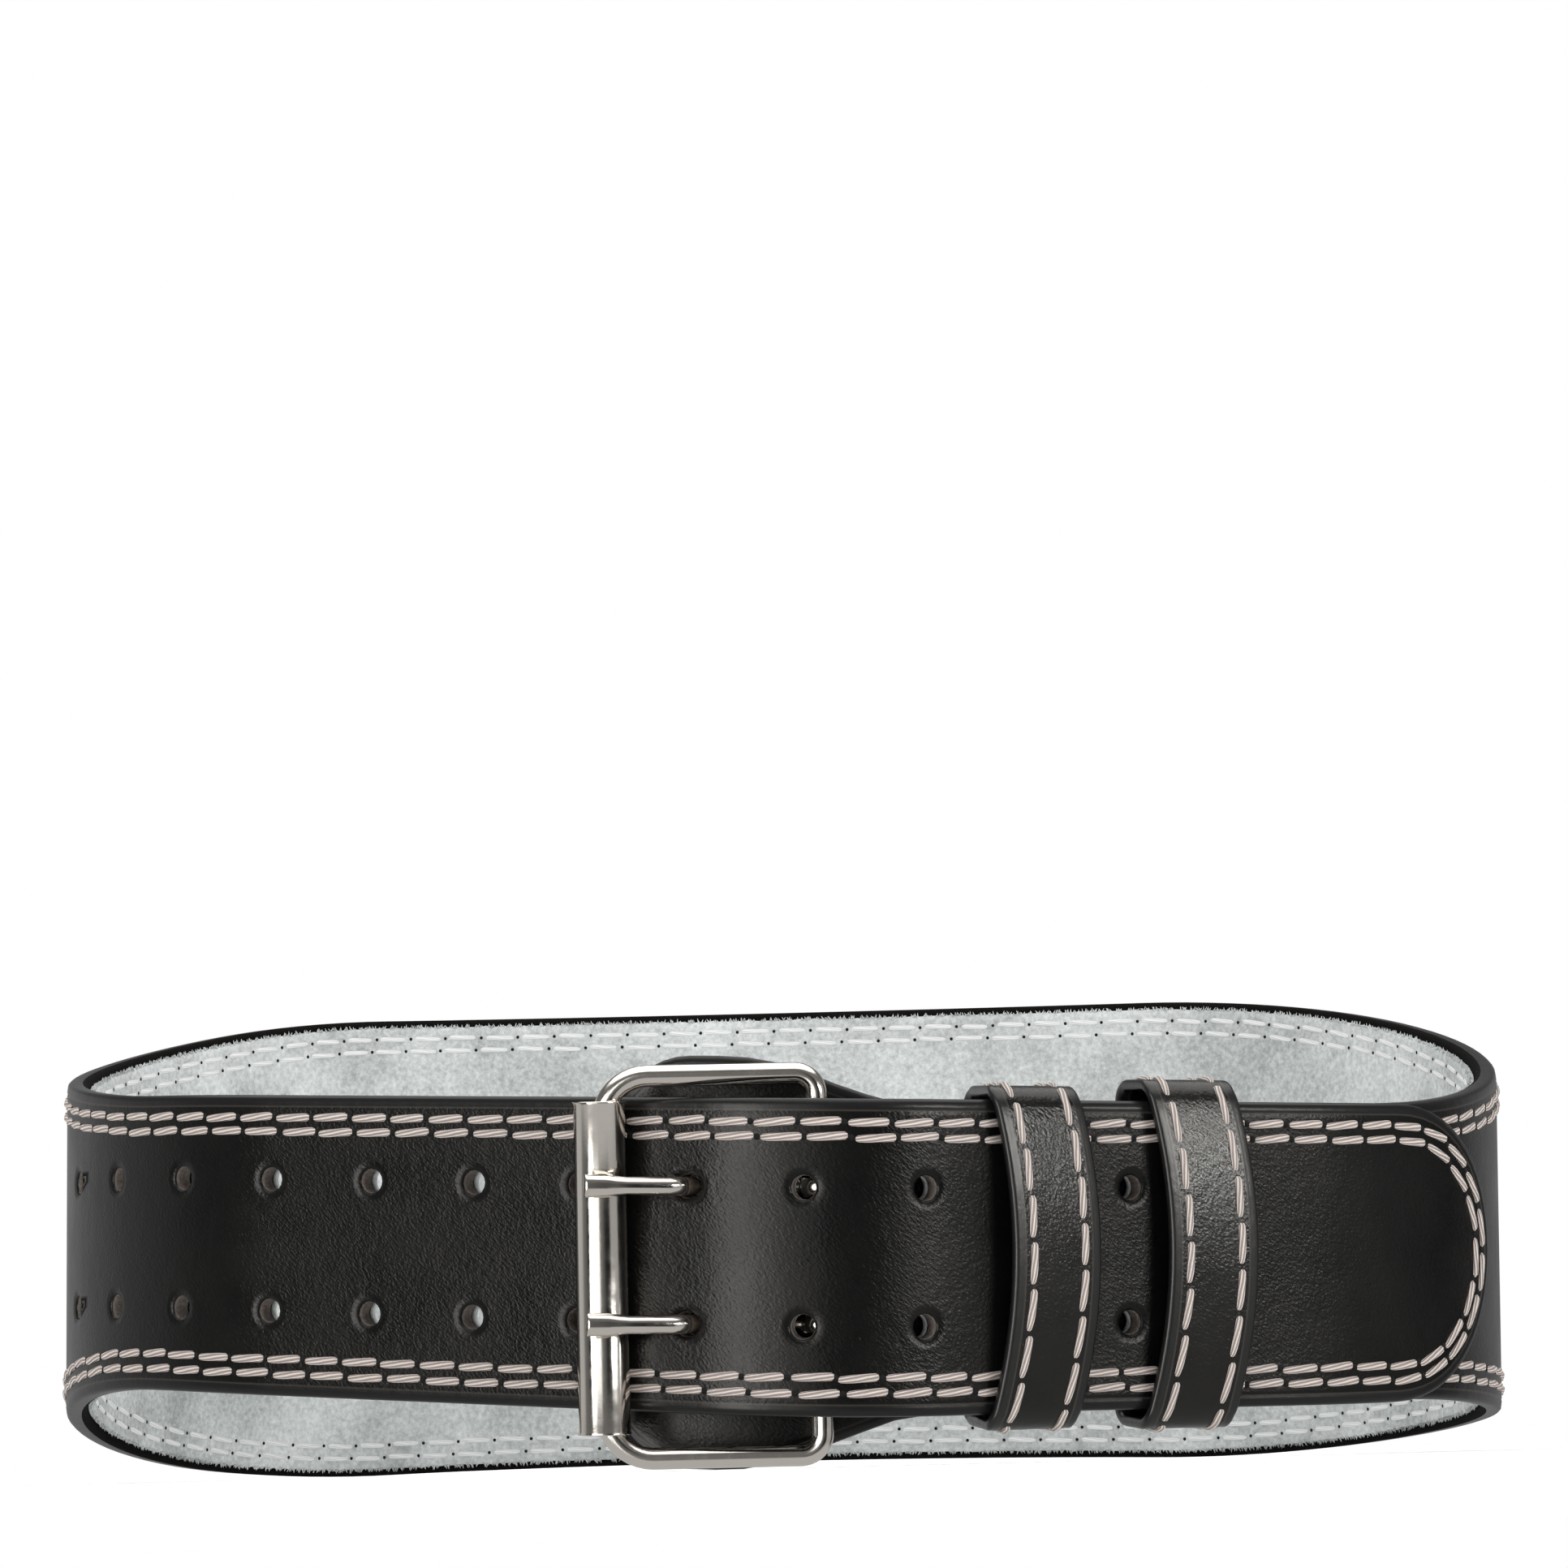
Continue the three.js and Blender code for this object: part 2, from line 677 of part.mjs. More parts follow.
// The front hangs slightly turned against the back: a turn about Y that fades towards the back
function twist(geometry) {
  const p = geometry.attributes.position;
  for (let i = 0; i < p.count; i++) {
    const [x, y, z] = [p.getX(i) - twistAxisX, p.getY(i), p.getZ(i)];
    const fade = 1 - smooth((y - twistFullDepth) / (twistEndDepth - twistFullDepth));
    const angle = frontTwist * degree * fade;
    const [c, s] = [Math.cos(angle), Math.sin(angle)];
    p.setXYZ(i, twistAxisX + x * c + z * s, y, z * c - x * s);
  }
  return geometry;
}

// Lean at which the lowest place in front of the balance is level with the lowest behind it
function restingLean(points, balanceY) {
  const lowest = (lean, inFront) => Math.min(...points
    .filter((p) => (p.y < balanceY) === inFront)
    .map((p) => p.y * Math.sin(lean) + p.z * Math.cos(lean)));
  let [low, high] = [-15 * degree, 15 * degree];
  for (let i = 0; i < 40; i++) {
    const middle = (low + high) / 2;
    if (lowest(middle, true) > lowest(middle, false)) low = middle;
    else high = middle;
  }
  return (low + high) / 2;
}

const looks = {
  leather: { color: 0x17171a, roughness: 0.5, metalness: 0 },
  suede: { color: 0xc3c9c8, roughness: 0.95, metalness: 0 },
  nickel: { color: 0xcfc8bb, roughness: 0.2, metalness: 1 },
};

const belt = new THREE.Group();

function addPiece(name, geometry, look) {
  const mesh = new THREE.Mesh(twist(geometry), new THREE.MeshStandardMaterial(looks[look]));
  mesh.name = name;
  belt.add(mesh);
}

const prongRows = [holeRows / 2, -holeRows / 2];
const cuts = [
  ...holePunches(),
  ...prongRows.map((z) => prongRod(z, prongDiameter / 2 + prongRoom, false)),
];
addPiece('belt_leather', cutAway(leatherBand(), cuts), 'leather');
addPiece('belt_lining', cutAway(liningBand(), cuts), 'suede');
addPiece('buckle_frame', buckleFrame(), 'nickel');
addPiece('buckle_roller', buckleRoller(), 'nickel');
addPiece('prong_upper', prong(prongRows[0]), 'nickel');
addPiece('prong_lower', prong(prongRows[1]), 'nickel');
addPiece('buckle_tab', buckleTab(), 'leather');
for (const keeper of keepers) addPiece(keeper.name, keeperLoop(keeper), 'leather');

// Stand the belt on its lower edges with its origin under the middle of its box
const corners = belt.children.flatMap((mesh) => {
  const p = mesh.geometry.attributes.position;
  return Array.from({ length: p.count }, (_, i) => new THREE.Vector3().fromBufferAttribute(p, i));
});
const span = new THREE.Box3().setFromPoints(corners);
belt.rotation.x = restingLean(corners, (span.min.y + span.max.y) / 2);
belt.updateMatrixWorld(true);
const standing = new THREE.Box3().setFromPoints(corners.map((p) => p.applyMatrix4(belt.matrixWorld)));
belt.position.set(
  -(standing.min.x + standing.max.x) / 2,
  -(standing.min.y + standing.max.y) / 2,
  -standing.min.z,
);

export default belt;
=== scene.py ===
# A leather lifting belt, buckled into its loop and standing on its lower edges.
# The pieces follow in the order in which a saddler makes them: the leather blank is cut flat,
# its edges are rounded and its holes punched, the suede is glued on and stitched through, and
# then the blank is bent into its loop, the buckle is hung in and the keepers are slid on.
import random
from bisect import bisect_left
from math import atan2, ceil, copysign, cos, hypot, inf, pi, radians, sin, sqrt, tan

import bmesh
import bpy
from mathutils import Matrix, Vector, noise


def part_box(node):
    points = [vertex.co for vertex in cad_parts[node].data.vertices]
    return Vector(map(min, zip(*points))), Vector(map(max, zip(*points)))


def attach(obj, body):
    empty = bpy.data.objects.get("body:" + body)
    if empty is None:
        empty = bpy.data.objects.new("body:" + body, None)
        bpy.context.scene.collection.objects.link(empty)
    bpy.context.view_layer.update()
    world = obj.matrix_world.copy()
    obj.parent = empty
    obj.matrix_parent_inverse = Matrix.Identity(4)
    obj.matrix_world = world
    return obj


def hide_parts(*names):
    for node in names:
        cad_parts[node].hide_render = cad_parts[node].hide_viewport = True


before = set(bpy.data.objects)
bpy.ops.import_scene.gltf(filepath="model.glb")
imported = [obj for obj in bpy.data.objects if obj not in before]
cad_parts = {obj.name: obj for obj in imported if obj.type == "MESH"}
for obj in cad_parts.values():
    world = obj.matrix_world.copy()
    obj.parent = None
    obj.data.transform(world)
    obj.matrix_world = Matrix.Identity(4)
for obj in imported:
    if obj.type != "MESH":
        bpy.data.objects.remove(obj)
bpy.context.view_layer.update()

# The blank: one strip of thick black leather, cut flat from the paddle end to the tip.
# It is a long narrow strap that swells to the wide back, with a paddle behind the buckle and a
# rounded tip. Flat, X runs along it, Y is its height and Z points out of its grain side.
leather_thickness = 0.0048
seat_gap = 0.0003
lining_thickness = 0.0013
lining_inset = 0.0020
ply_thickness = leather_thickness + seat_gap + lining_thickness
strap_half = 0.0635 / 2
back_half = 0.1143 / 2
paddle_half = 0.084 / 2
paddle_drop = 0.0017
paddle_drop_fades = 0.040
paddle_reach = 0.0555
paddle_round = 0.026
flare_end = 0.017
tip_reach = 0.175
tip_round = 0.036
right_taper = (0.129, 0.223)
left_taper = (0.166, 0.207)

# Its route round the waist, seen from above: radius and turn of each bend in travel order
nose_bend = (0.080, 26)
right_bend = (0.105, 134)
back_bend = (0.306, 34)
left_bend = (0.1085, 137.5)
peak_bend = (0.054, 28.5)
peak_x = 0.0085
stack_height = 0.0172
layer_step = 0.0069
ramp_length = 0.054
route_step = 0.001
spare_route = 1.15
front_twist = radians(1.8)
twist_axis_x = 0.085
twist_fades = (0.060, 0.220)
front_lean = radians(4.217)


def smooth(share):
    share = min(max(share, 0.0), 1.0)
    return share * share * (3 - 2 * share)


def layer_distance(from_bar):
    return layer_step + (stack_height - layer_step) * (1 - smooth(abs(from_bar) / ramp_length))


def walk(bends, length):
    """Place and heading after a length along the bends, each a radius and a turn, or a straight."""
    x = y = heading = 0.0
    for radius, turn in bends:
        if radius is None:
            run = min(length, turn)
            x += run * cos(heading)
            y += run * sin(heading)
        else:
            run = min(length, radius * radians(turn))
            after = heading + run / radius
            x += radius * (sin(after) - sin(heading))
            y += radius * (cos(heading) - cos(after))
            heading = after
        length -= run
    return x, y, heading


def closed_loop():
    """The bends with the two straights beside the front that close the loop."""
    bends = [nose_bend, [None, 0], list(right_bend), back_bend, left_bend, [None, 0], peak_bend]
    bends[2][1] = 360 - sum(turn for radius, turn in bends if radius) + right_bend[1]
    miss_x, miss_y, _ = walk(bends, inf)
    first = radians(nose_bend[1])
    last = radians(360 - peak_bend[1])
    miss_x, miss_y = -miss_x, -stack_height - miss_y
    across = sin(last - first)
    bends[1][1] = (miss_x * sin(last) - miss_y * cos(last)) / across
    bends[5][1] = (miss_y * cos(first) - miss_x * sin(first)) / across
    return bends


loop = closed_loop()
loop_length = sum(turn if radius is None else radius * radians(turn) for radius, turn in loop)


def beside_loop(length, outward):
    x, y, heading = walk(loop, length)
    return Vector((peak_x + x + outward * sin(heading),
                   stack_height + y - outward * cos(heading)))


def running_lengths(points):
    """How far along a line of points each of them lies."""
    lengths = [0.0]
    for before, after in zip(points, points[1:]):
        lengths.append(lengths[-1] + (after - before).length)
    return lengths


def sample_route():
    """Points a millimetre apart: the paddle inside the strap, the loop, the strap outside it."""
    points = []
    for i in range(round(paddle_reach / route_step)):
        from_bar = paddle_reach * (1 - i * route_step / paddle_reach)
        points.append(beside_loop(loop_length - from_bar, -layer_distance(from_bar)))
    inside = len(points)
    points += [beside_loop(i * route_step, 0) for i in range(round(loop_length / route_step))]
    outside = len(points)
    for i in range(round(tip_reach * spare_route / route_step)):
        points.append(beside_loop(i * route_step, layer_distance(i * route_step)))
    lengths = running_lengths(points)
    return points, lengths, lengths[inside], lengths[outside]


route_points, route_lengths, bar_inside, bar_outside = sample_route()
band_end = bar_outside + tip_reach
paddle_top = bar_inside - paddle_reach + paddle_round
neck = bar_inside + flare_end
tip_start = band_end - tip_round
flare = ((0.0, 1.0), (0.14, 1.0), (0.27, 0.97), (0.40, 0.87), (0.54, 0.66),
         (0.69, 0.40), (0.82, 0.20), (0.91, 0.07), (1.0, 0.0))


def find_on(lengths, target):
    """The number of the stretch that holds a length along a line, and the share of it before."""
    i = min(max(bisect_left(lengths, target), 1), len(lengths) - 1)
    return i, (target - lengths[i - 1]) / max(lengths[i] - lengths[i - 1], 1e-9)


def on_route(length):
    i, share = find_on(route_lengths, length)
    return route_points[i - 1].lerp(route_points[i], share)


def route_frame(length):
    """Place, forward direction and outward direction on the route."""
    reach = route_step * 1.5
    forward = (on_route(length + reach) - on_route(length - reach)).normalized()
    return on_route(length), forward, Vector((forward.y, -forward.x))


def turned(a, b, angle):
    c, s = cos(angle), sin(angle)
    return a * c - b * s, a * s + b * c


def stand(x, y, z):
    """Turns the front a little against the back, then leans the whole belt onto its edges."""
    fade = 1 - smooth((y - twist_fades[0]) / (twist_fades[1] - twist_fades[0]))
    x, z = turned(x - twist_axis_x, z, -front_twist * fade)
    return Vector((twist_axis_x + x, *turned(y, z, front_lean)))


def half_width(length):
    """Half height of the straight and tapered stretches between the two round ends."""
    if length < neck:
        along = max(0.0, (length - paddle_top) / (neck - paddle_top))
        i = next(k for k in range(1, len(flare)) if flare[k][0] >= along)
        (a, low), (b, high) = flare[i - 1], flare[i]
        extra = low + (high - low) * (along - a) / (b - a)
        return strap_half + (paddle_half - strap_half) * extra
    widen = smooth((length - bar_inside - right_taper[0]) / right_taper[1])
    narrow = smooth((bar_outside - left_taper[0] - length) / left_taper[1])
    return strap_half + (back_half - strap_half) * min(widen, narrow)


def edge_distance(length, height):
    if length < paddle_top:
        reach = hypot((paddle_top - length) / paddle_round, height / paddle_half)
        return (1 - reach) * min(paddle_round, paddle_half)
    if length > tip_start:
        reach = hypot((length - tip_start) / tip_round, height / strap_half)
        return (1 - reach) * strap_half
    return half_width(length) - abs(height)


# Punched holes, in pairs, one of which the prongs have stretched
hole_pairs = 12
hole_pitch = 0.0254
hole_row = 0.0277 / 2
hole_radius = 0.0025
hole_at_bar = 0.0055
pairs_past_bar = 3
prong_pair = 4
hole_cell = 0.005
prong_cell = 0.0066
prong_stretch = 0.0005
hole_places = [bar_outside - hole_at_bar + (pairs_past_bar - pair) * hole_pitch
               for pair in range(hole_pairs)]
hole_cells = [prong_cell if pair == prong_pair else hole_cell for pair in range(hole_pairs)]


def outline_stations(spacing, end_steps, flared=True):
    """Stations along the blank: place, half height and the outline's outward direction there."""
    stations = []

    def round_end(start, reach, half, angle):
        n = Vector((sin(angle) / reach, cos(angle) / half)).normalized()
        stations.append((start + reach * sin(angle), half * cos(angle), n.x, n.y))

    for i in range(end_steps):
        round_end(paddle_top, -paddle_round, paddle_half if flared else strap_half,
                  radians(90) * (1 - i / end_steps))
    forced = [paddle_top, tip_start]
    for place, cell in zip(hole_places, hole_cells):
        forced += [place + cell * share for share in (-1, -0.5, 0, 0.5, 1)]
    forced.sort()
    places = []
    for a, b in zip(forced, forced[1:]):
        steps = 1 if b - a < prong_cell * 0.51 else ceil((b - a) / spacing - 0.01)
        places += [a + (b - a) * k / steps for k in range(steps)]
    places.append(tip_start)
    for x in places:
        half = half_width(x)
        before = half_width(max(x - route_step, paddle_top))
        slope = (half_width(x + route_step) - before) / (2 * route_step)
        if not flared and x < neck:
            half, slope = strap_half, 0.0
        n = Vector((-slope, 1)).normalized()
        stations.append((x, half, n.x, n.y))
    for i in range(1, end_steps + 1):
        round_end(tip_start, tip_round, strap_half, radians(90) * i / end_steps)
    return stations


# Rows across a face: fixed heights round the holes, stretching ones, and ones that keep their
# distance from the edge all round the tip
edge_zone = 0.010
hole_rows = (0, hole_row - hole_cell, hole_row - hole_cell / 2, hole_row,
             hole_row + hole_cell / 2, hole_row + hole_cell)


def mirrored(rows):
    return [(kind, -value, depth) for kind, value, depth in reversed(rows)]


def inner_rows(depth):
    """Rows between the edge zones, from the lower one to the upper one."""
    upper = [("fixed", y, depth) for y in hole_rows[1:]] + [("share", s, depth) for s in (0.4, 0.7)]
    return mirrored(upper) + [("fixed", 0.0, depth)] + upper


def row_place(row, station):
    kind, value, depth = row
    x, half, nx, ny = station
    if kind == "edge":
        away = abs(value)
        return Vector((x - away * nx, copysign(1, value) * max(half - away * ny, 0.0), depth))
    room = max(half - edge_zone * ny, 0.0)
    fits = hole_rows[-1] * min(1.0, room / (hole_rows[-1] + 0.0015))
    if kind == "fixed":
        height = value / hole_rows[-1] * fits
    else:
        height = copysign(fits + (room - fits) * abs(value), value)
    return Vector((x - edge_zone * nx, height, depth))


def flat_sheet(rows, stations):
    """A closed flat body: a grid rolled up so that its rows run right round the section."""
    bm = bmesh.new()
    columns = len(stations)
    bmesh.ops.create_grid(bm, x_segments=columns - 1, y_segments=len(rows), size=1)
    cells = {}
    for face in bm.faces:
        middle = face.calc_center_median()
        cells[int((middle.x + 1) / 2 * (columns - 1)), int((middle.y + 1) / 2 * len(rows))] = face
    for vert in bm.verts:
        column = round((vert.co.x + 1) / 2 * (columns - 1))
        row = round((vert.co.y + 1) / 2 * len(rows)) % len(rows)
        vert.co = row_place(rows[row], stations[column])
    return bm, cells


def cells_round(cells, rows, stations, depth, place, height, cell):
    """The square of grid faces round a hole, on the side of the sheet that has this depth."""
    found = []
    for (column, row), face in cells.items():
        (kind, low, level), (next_kind, high, _) = rows[row], rows[(row + 1) % len(rows)]
        if kind == next_kind == "fixed" and level == depth:
            x = (stations[column][0] + stations[column + 1][0]) / 2
            if abs(x - place) < cell and abs((low + high) / 2 - height) < hole_cell:
                found.append(face)
    return found


def edges_of(verts):
    return list({edge for vert in verts for edge in vert.link_edges})


def grow(bm, edges):
    """Extrudes edges and sorts what comes of it into vertices, edges and faces."""
    made = bmesh.ops.extrude_edge_only(bm, edges=edges)["geom"]
    return [[part for part in made if isinstance(part, kind)]
            for kind in (bmesh.types.BMVert, bmesh.types.BMEdge, bmesh.types.BMFace)]


def punch(bm, sides, place, height, stretch):
    """Cuts a square out of both faces and leads each border down into a round hole."""
    ends = []
    for faces, rings in sides:
        edges = {edge for face in faces for edge in face.edges}
        border = [e for e in edges if sum(f in faces for f in e.link_faces) == 1]
        bmesh.ops.delete(bm, geom=faces, context="FACES")
        step = radians(360 / len(border))
        for number, (radius, depth) in enumerate(rings):
            verts, border, walls = grow(bm, border)
            for wall in walls:
                wall.material_index = int(number == len(rings) - 1)
            for vert in verts:
                angle = atan2(vert.co.y - height, vert.co.x - place)
                angle = round(angle / step) * step
                vert.co = (place + (radius + stretch) * cos(angle) + stretch * 0.6,
                           height + radius * sin(angle), depth)
        ends += border
    for wall in bmesh.ops.bridge_loops(bm, edges=ends)["faces"]:
        wall.material_index = 1


def turn_outward(bm):
    bm.normal_update()
    bmesh.ops.recalc_face_normals(bm, faces=bm.faces)


def punched_sheet(rows, spacing, end_steps, rings_out, rings_in):
    """A flat layer with its holes, which keeps its flat places and distances from the outline."""
    stations = outline_stations(spacing, end_steps)
    bm, cells = flat_sheet(rows, stations)
    # All faces to punch are found before the first hole, because punching renumbers them
    squares = []
    for place, cell in zip(hole_places, hole_cells):
        for height in (-hole_row, hole_row):
            sides = [(cells_round(cells, rows, stations, rings[0][1], place, height, cell), rings)
                     for rings in (rings_out, rings_in)]
            squares.append((sides, place, height, prong_stretch if cell == prong_cell else 0.0))
    for square in squares:
        punch(bm, *square)
    bmesh.ops.remove_doubles(bm, verts=bm.verts, dist=1e-6)
    bmesh.ops.dissolve_degenerate(bm, edges=bm.edges, dist=1e-6)
    turn_outward(bm)
    uv = bm.loops.layers.uv.new("flat")
    for face in bm.faces:
        for corner in face.loops:
            corner[uv].uv = corner.vert.co.xy
    distance = bm.verts.layers.float.new("from_edge")
    for vert in bm.verts:
        vert[distance] = edge_distance(vert.co.x, vert.co.y)
    return bm


def bend(bm):
    """Bends what was made flat round the waist; its grain side ends up outside."""
    for vert in bm.verts:
        length, height, outward = vert.co
        at, _, out = route_frame(length)
        spot = at + out * outward
        height -= paddle_drop * (1 - smooth((length - bar_inside) / paddle_drop_fades))
        vert.co = stand(spot.x, spot.y, height)


def to_mesh(bm, name):
    mesh = bpy.data.meshes.new(name)
    bm.to_mesh(mesh)
    bm.free()
    return mesh


def new_object(name, data):
    made = bpy.data.objects.new(name, data)
    bpy.context.scene.collection.objects.link(made)
    return made


def finish_piece(bm, name, *nodes, slot, paints):
    """Moves the piece to where the CAD belt stands, paints it and hangs it under the root body."""
    bmesh.ops.translate(bm, verts=bm.verts, vec=rest_shift)
    mesh = to_mesh(bm, name)
    for paint in paints:
        mesh.materials.append(paint)
    for polygon in mesh.polygons:
        polygon.use_smooth = True
    piece = new_object(name, mesh)
    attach(piece, "root")
    if nodes:
        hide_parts(*nodes)


flesh_depth = -leather_thickness
leather_spacing = 0.0062
leather_end_steps = 14
round_steps = (30, 60, 90)
edge_round = 0.0013
crease_at = 0.0024
crease_half = 0.0004
crease_depth = 0.00012


def leather_rows():
    face = [("edge", d, 0.0) for d in (edge_zone, 0.0076, 0.0055, 0.0035, crease_at + crease_half)]
    face += [("edge", crease_at, -crease_depth), ("edge", crease_at - crease_half, 0.0)]
    for angle in round_steps:
        a = radians(angle)
        face.append(("edge", edge_round * (1 - sin(a)), -edge_round * (1 - cos(a))))
    back = [("edge", d, depth) for d, depth in (
        (0.0, flesh_depth / 2), (0.0, edge_round + flesh_depth), (0.0004, 0.0004 + flesh_depth),
        (0.0013, flesh_depth), (edge_zone, flesh_depth))]
    inside = inner_rows(flesh_depth)[::-1]
    return inner_rows(0.0) + face + back + inside + mirrored(face + back)


def make_leather():
    bm = punched_sheet(
        leather_rows(), leather_spacing, leather_end_steps,
        ((0.0046, 0.0), (0.0041, 0.0), (0.0034, -0.00022), (0.0029, -0.00032), (0.0026, -0.0007),
         (hole_radius, -0.0014)),
        ((0.0038, flesh_depth), (0.0027, flesh_depth), (hole_radius, flesh_depth + 0.0006)))
    for face in bm.faces:
        if all(vert.co.z < flesh_depth + edge_round * 1.1 for vert in face.verts):
            face.material_index = 2
    bend(bm)
    return bm


leather_bm = make_leather()
cad_low, cad_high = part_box("belt_leather")
leather_axes = list(zip(*(vert.co for vert in leather_bm.verts)))
leather_low, leather_high = (Vector([end(axis) for axis in leather_axes]) for end in (min, max))
rest_shift = (Vector(cad_low) + Vector(cad_high) - leather_low - leather_high) / 2
rest_shift.z = cad_low[2] - leather_low.z


def node_maker(tree):
    """A short way to add nodes to a tree and to wire or set their inputs, by name or by number."""
    def node(kind, settings=None, **inputs):
        made = tree.nodes.new("ShaderNode" + kind)
        for key, value in (settings or {}).items():
            setattr(made, key, value)
        for key, value in inputs.items():
            socket = made.inputs[int(key[1:]) if key[1:].isdigit() else key.replace("_", " ")]
            if isinstance(value, bpy.types.NodeSocket):
                tree.links.new(value, socket)
            else:
                socket.default_value = value
        return made.outputs

    return node


def new_material(name, color, roughness, metallic=0.0, **sockets):
    """A Principled material, its node maker and a way to wire into its shader."""
    material = bpy.data.materials.new(name)
    material.use_nodes = True
    tree = material.node_tree
    shader = tree.nodes["Principled BSDF"]
    shader.inputs["Base Color"].default_value = (*color, 1)
    shader.inputs["Roughness"].default_value = roughness
    shader.inputs["Metallic"].default_value = metallic
    for socket, value in sockets.items():
        shader.inputs[socket.replace("_", " ")].default_value = value

    def wire(source, socket):
        tree.links.new(source, shader.inputs[socket])

    return material, node_maker(tree), wire


def maths(node, operation, *values):
    inputs = {f"_{i}": value for i, value in enumerate(values)}
    return node("Math", {"operation": operation}, **inputs)["Value"]


def ramp(node, value, low, high, start=0.0, end=1.0, soft=False):
    """Maps what lies between two limits to another range."""
    return node("MapRange", {"interpolation_type": "SMOOTHSTEP" if soft else "LINEAR"},
                Value=value, From_Min=low, From_Max=high, To_Min=start, To_Max=end)["Result"]


def blend(node, share, first, second):
    """Mixes two numbers, or else two colours."""
    if isinstance(second, float):
        return node("Mix", {"data_type": "FLOAT"}, Factor=share, _2=first, _3=second)[0]
    return node("Mix", {"data_type": "RGBA"}, Factor=share, _6=first, _7=second)[2]


def mottle(node, scale, detail, where=None, **more):
    """Soft noise, laid out in the object's own coordinates unless it is told where."""
    where = where or node("TexCoord")["Object"]
    return node("TexNoise", Vector=where, Scale=scale, Detail=detail, **more)["Fac"]


def bump(node, height, strength, distance, **more):
    return node("Bump", Strength=strength, Distance=distance, Height=height,
                **more)["Normal"]


def grain_bump(node, strength):
    """Leather grain: small rounded cells over soft wider swells."""
    cells = node("TexVoronoi", {"feature": "SMOOTH_F1"}, Vector=node("TexCoord")["Object"],
                 Scale=1500.0, Smoothness=0.4)["Distance"]
    swells = bump(node, mottle(node, 300.0, 3.0), 0.25, 0.0003)
    return bump(node, cells, strength, 0.0001, Normal=swells)


def leather_material(name, edges, gloss=0.28, roughest=0.33):
    """Black satin hide with a fine grain; the burnished edge band is smooth and a little grey."""
    material, node, wire = new_material(name, (0.010, 0.010, 0.0105), 0.42,
                                        Specular_IOR_Level=gloss,
                                        Specular_Tint=(1.0, 0.975, 0.93, 1))
    flat = node("TexCoord")["UV"]
    turned = node("Mapping", Vector=flat, Rotation=(0, 0, radians(38)))
    slant = node("Mapping", Vector=turned["Vector"], Scale=(1, 2.4, 1))
    creases = ramp(node, mottle(node, 900.0, 2.0, slant["Vector"], Distortion=0.5), 0.38, 0.62)
    tone = mottle(node, 60.0, 5.0)
    color = blend(node, ramp(node, tone, 0.3, 0.7), (0.0022, 0.0022, 0.0023, 1),
                  (0.0050, 0.0047, 0.0045, 1))
    rough = ramp(node, tone, 0.3, 0.7, roughest - 0.07, roughest)
    grain, crease = 0.55, 0.3
    if edges:
        away = node("Attribute", {"attribute_name": "from_edge"})["Fac"]
        band = ramp(node, away, crease_at - 0.0002, crease_at + 0.0003, 1.0, 0.0, soft=True)
        off_line = maths(node, "ABSOLUTE", maths(node, "SUBTRACT", away, crease_at))
        line = ramp(node, off_line, 0.0, 0.00035, 1.0, 0.0, soft=True)
        color = blend(node, band, color, (0.010, 0.010, 0.0102, 1))
        color = blend(node, line, color, (0.035, 0.031, 0.027, 1))
        rough = blend(node, band, rough, 0.30)
        grain = crease = blend(node, band, 0.3, 0.05)
    normal = grain_bump(node, grain)
    wire(color, "Base Color")
    wire(rough, "Roughness")
    wire(bump(node, creases, crease, 0.00008, Normal=normal), "Normal")
    return material


def fibre_material(name, color, scale, detail, dark, light, strength, distance, **sockets):
    """Loose fibres, which colour and roughen the surface."""
    material, node, wire = new_material(name, color, 0.9, **sockets)
    fibres = mottle(node, scale, detail)
    wire(blend(node, fibres, dark, light), "Base Color")
    wire(bump(node, fibres, strength, distance), "Normal")
    return material


# The undyed brownish fibres inside the punched holes, and the dyed flesh side, a dull black nap
# that shows as a rim round the lining
raw_hide = fibre_material("raw hide", (0.1, 0.08, 0.07), 1400.0, 3.0, (0.035, 0.028, 0.024, 1),
                          (0.26, 0.22, 0.19, 1), 0.8, 0.0003)
flesh_side = fibre_material("dyed flesh side", (0.0035, 0.0032, 0.003), 1200.0, 4.0,
                            (0.0015, 0.0015, 0.0015, 1), (0.008, 0.007, 0.006, 1), 0.5, 0.0002,
                            Specular_IOR_Level=0.08)
black_leather = leather_material("black satin leather", edges=True)
finish_piece(leather_bm, "belt_leather_cut", "belt_leather", slot="black_leather",
             paints=(black_leather, raw_hide, flesh_side))

# The lining: light grey suede glued to the flesh side, cut a little short of the leather's rim.
# Its cut edge is ragged, and the punches went through it together with the leather.
suede_top = flesh_depth - seat_gap
suede_face = suede_top - lining_thickness
suede_middle = (suede_top + suede_face) / 2
suede_spacing = 0.0013
line_spacing = 0.003
fine_end_steps = 24
ragged = 0.00045
ragged_band = 0.0006
lying = Matrix.Rotation(radians(90), 4, "Y")
tuft_length = 0.0014
tuft_root = 0.00030
tuft_tip = 0.00005
tuft_spacing = 0.0004


def suede_rows():
    rim = [("edge", edge_zone, suede_top), ("edge", lining_inset, suede_top),
           ("edge", lining_inset, suede_middle), ("edge", lining_inset + 0.0003, suede_face),
           ("edge", lining_inset + 0.0014, suede_face), ("edge", edge_zone, suede_face)]
    return inner_rows(suede_top) + rim + inner_rows(suede_face)[::-1] + mirrored(rim)


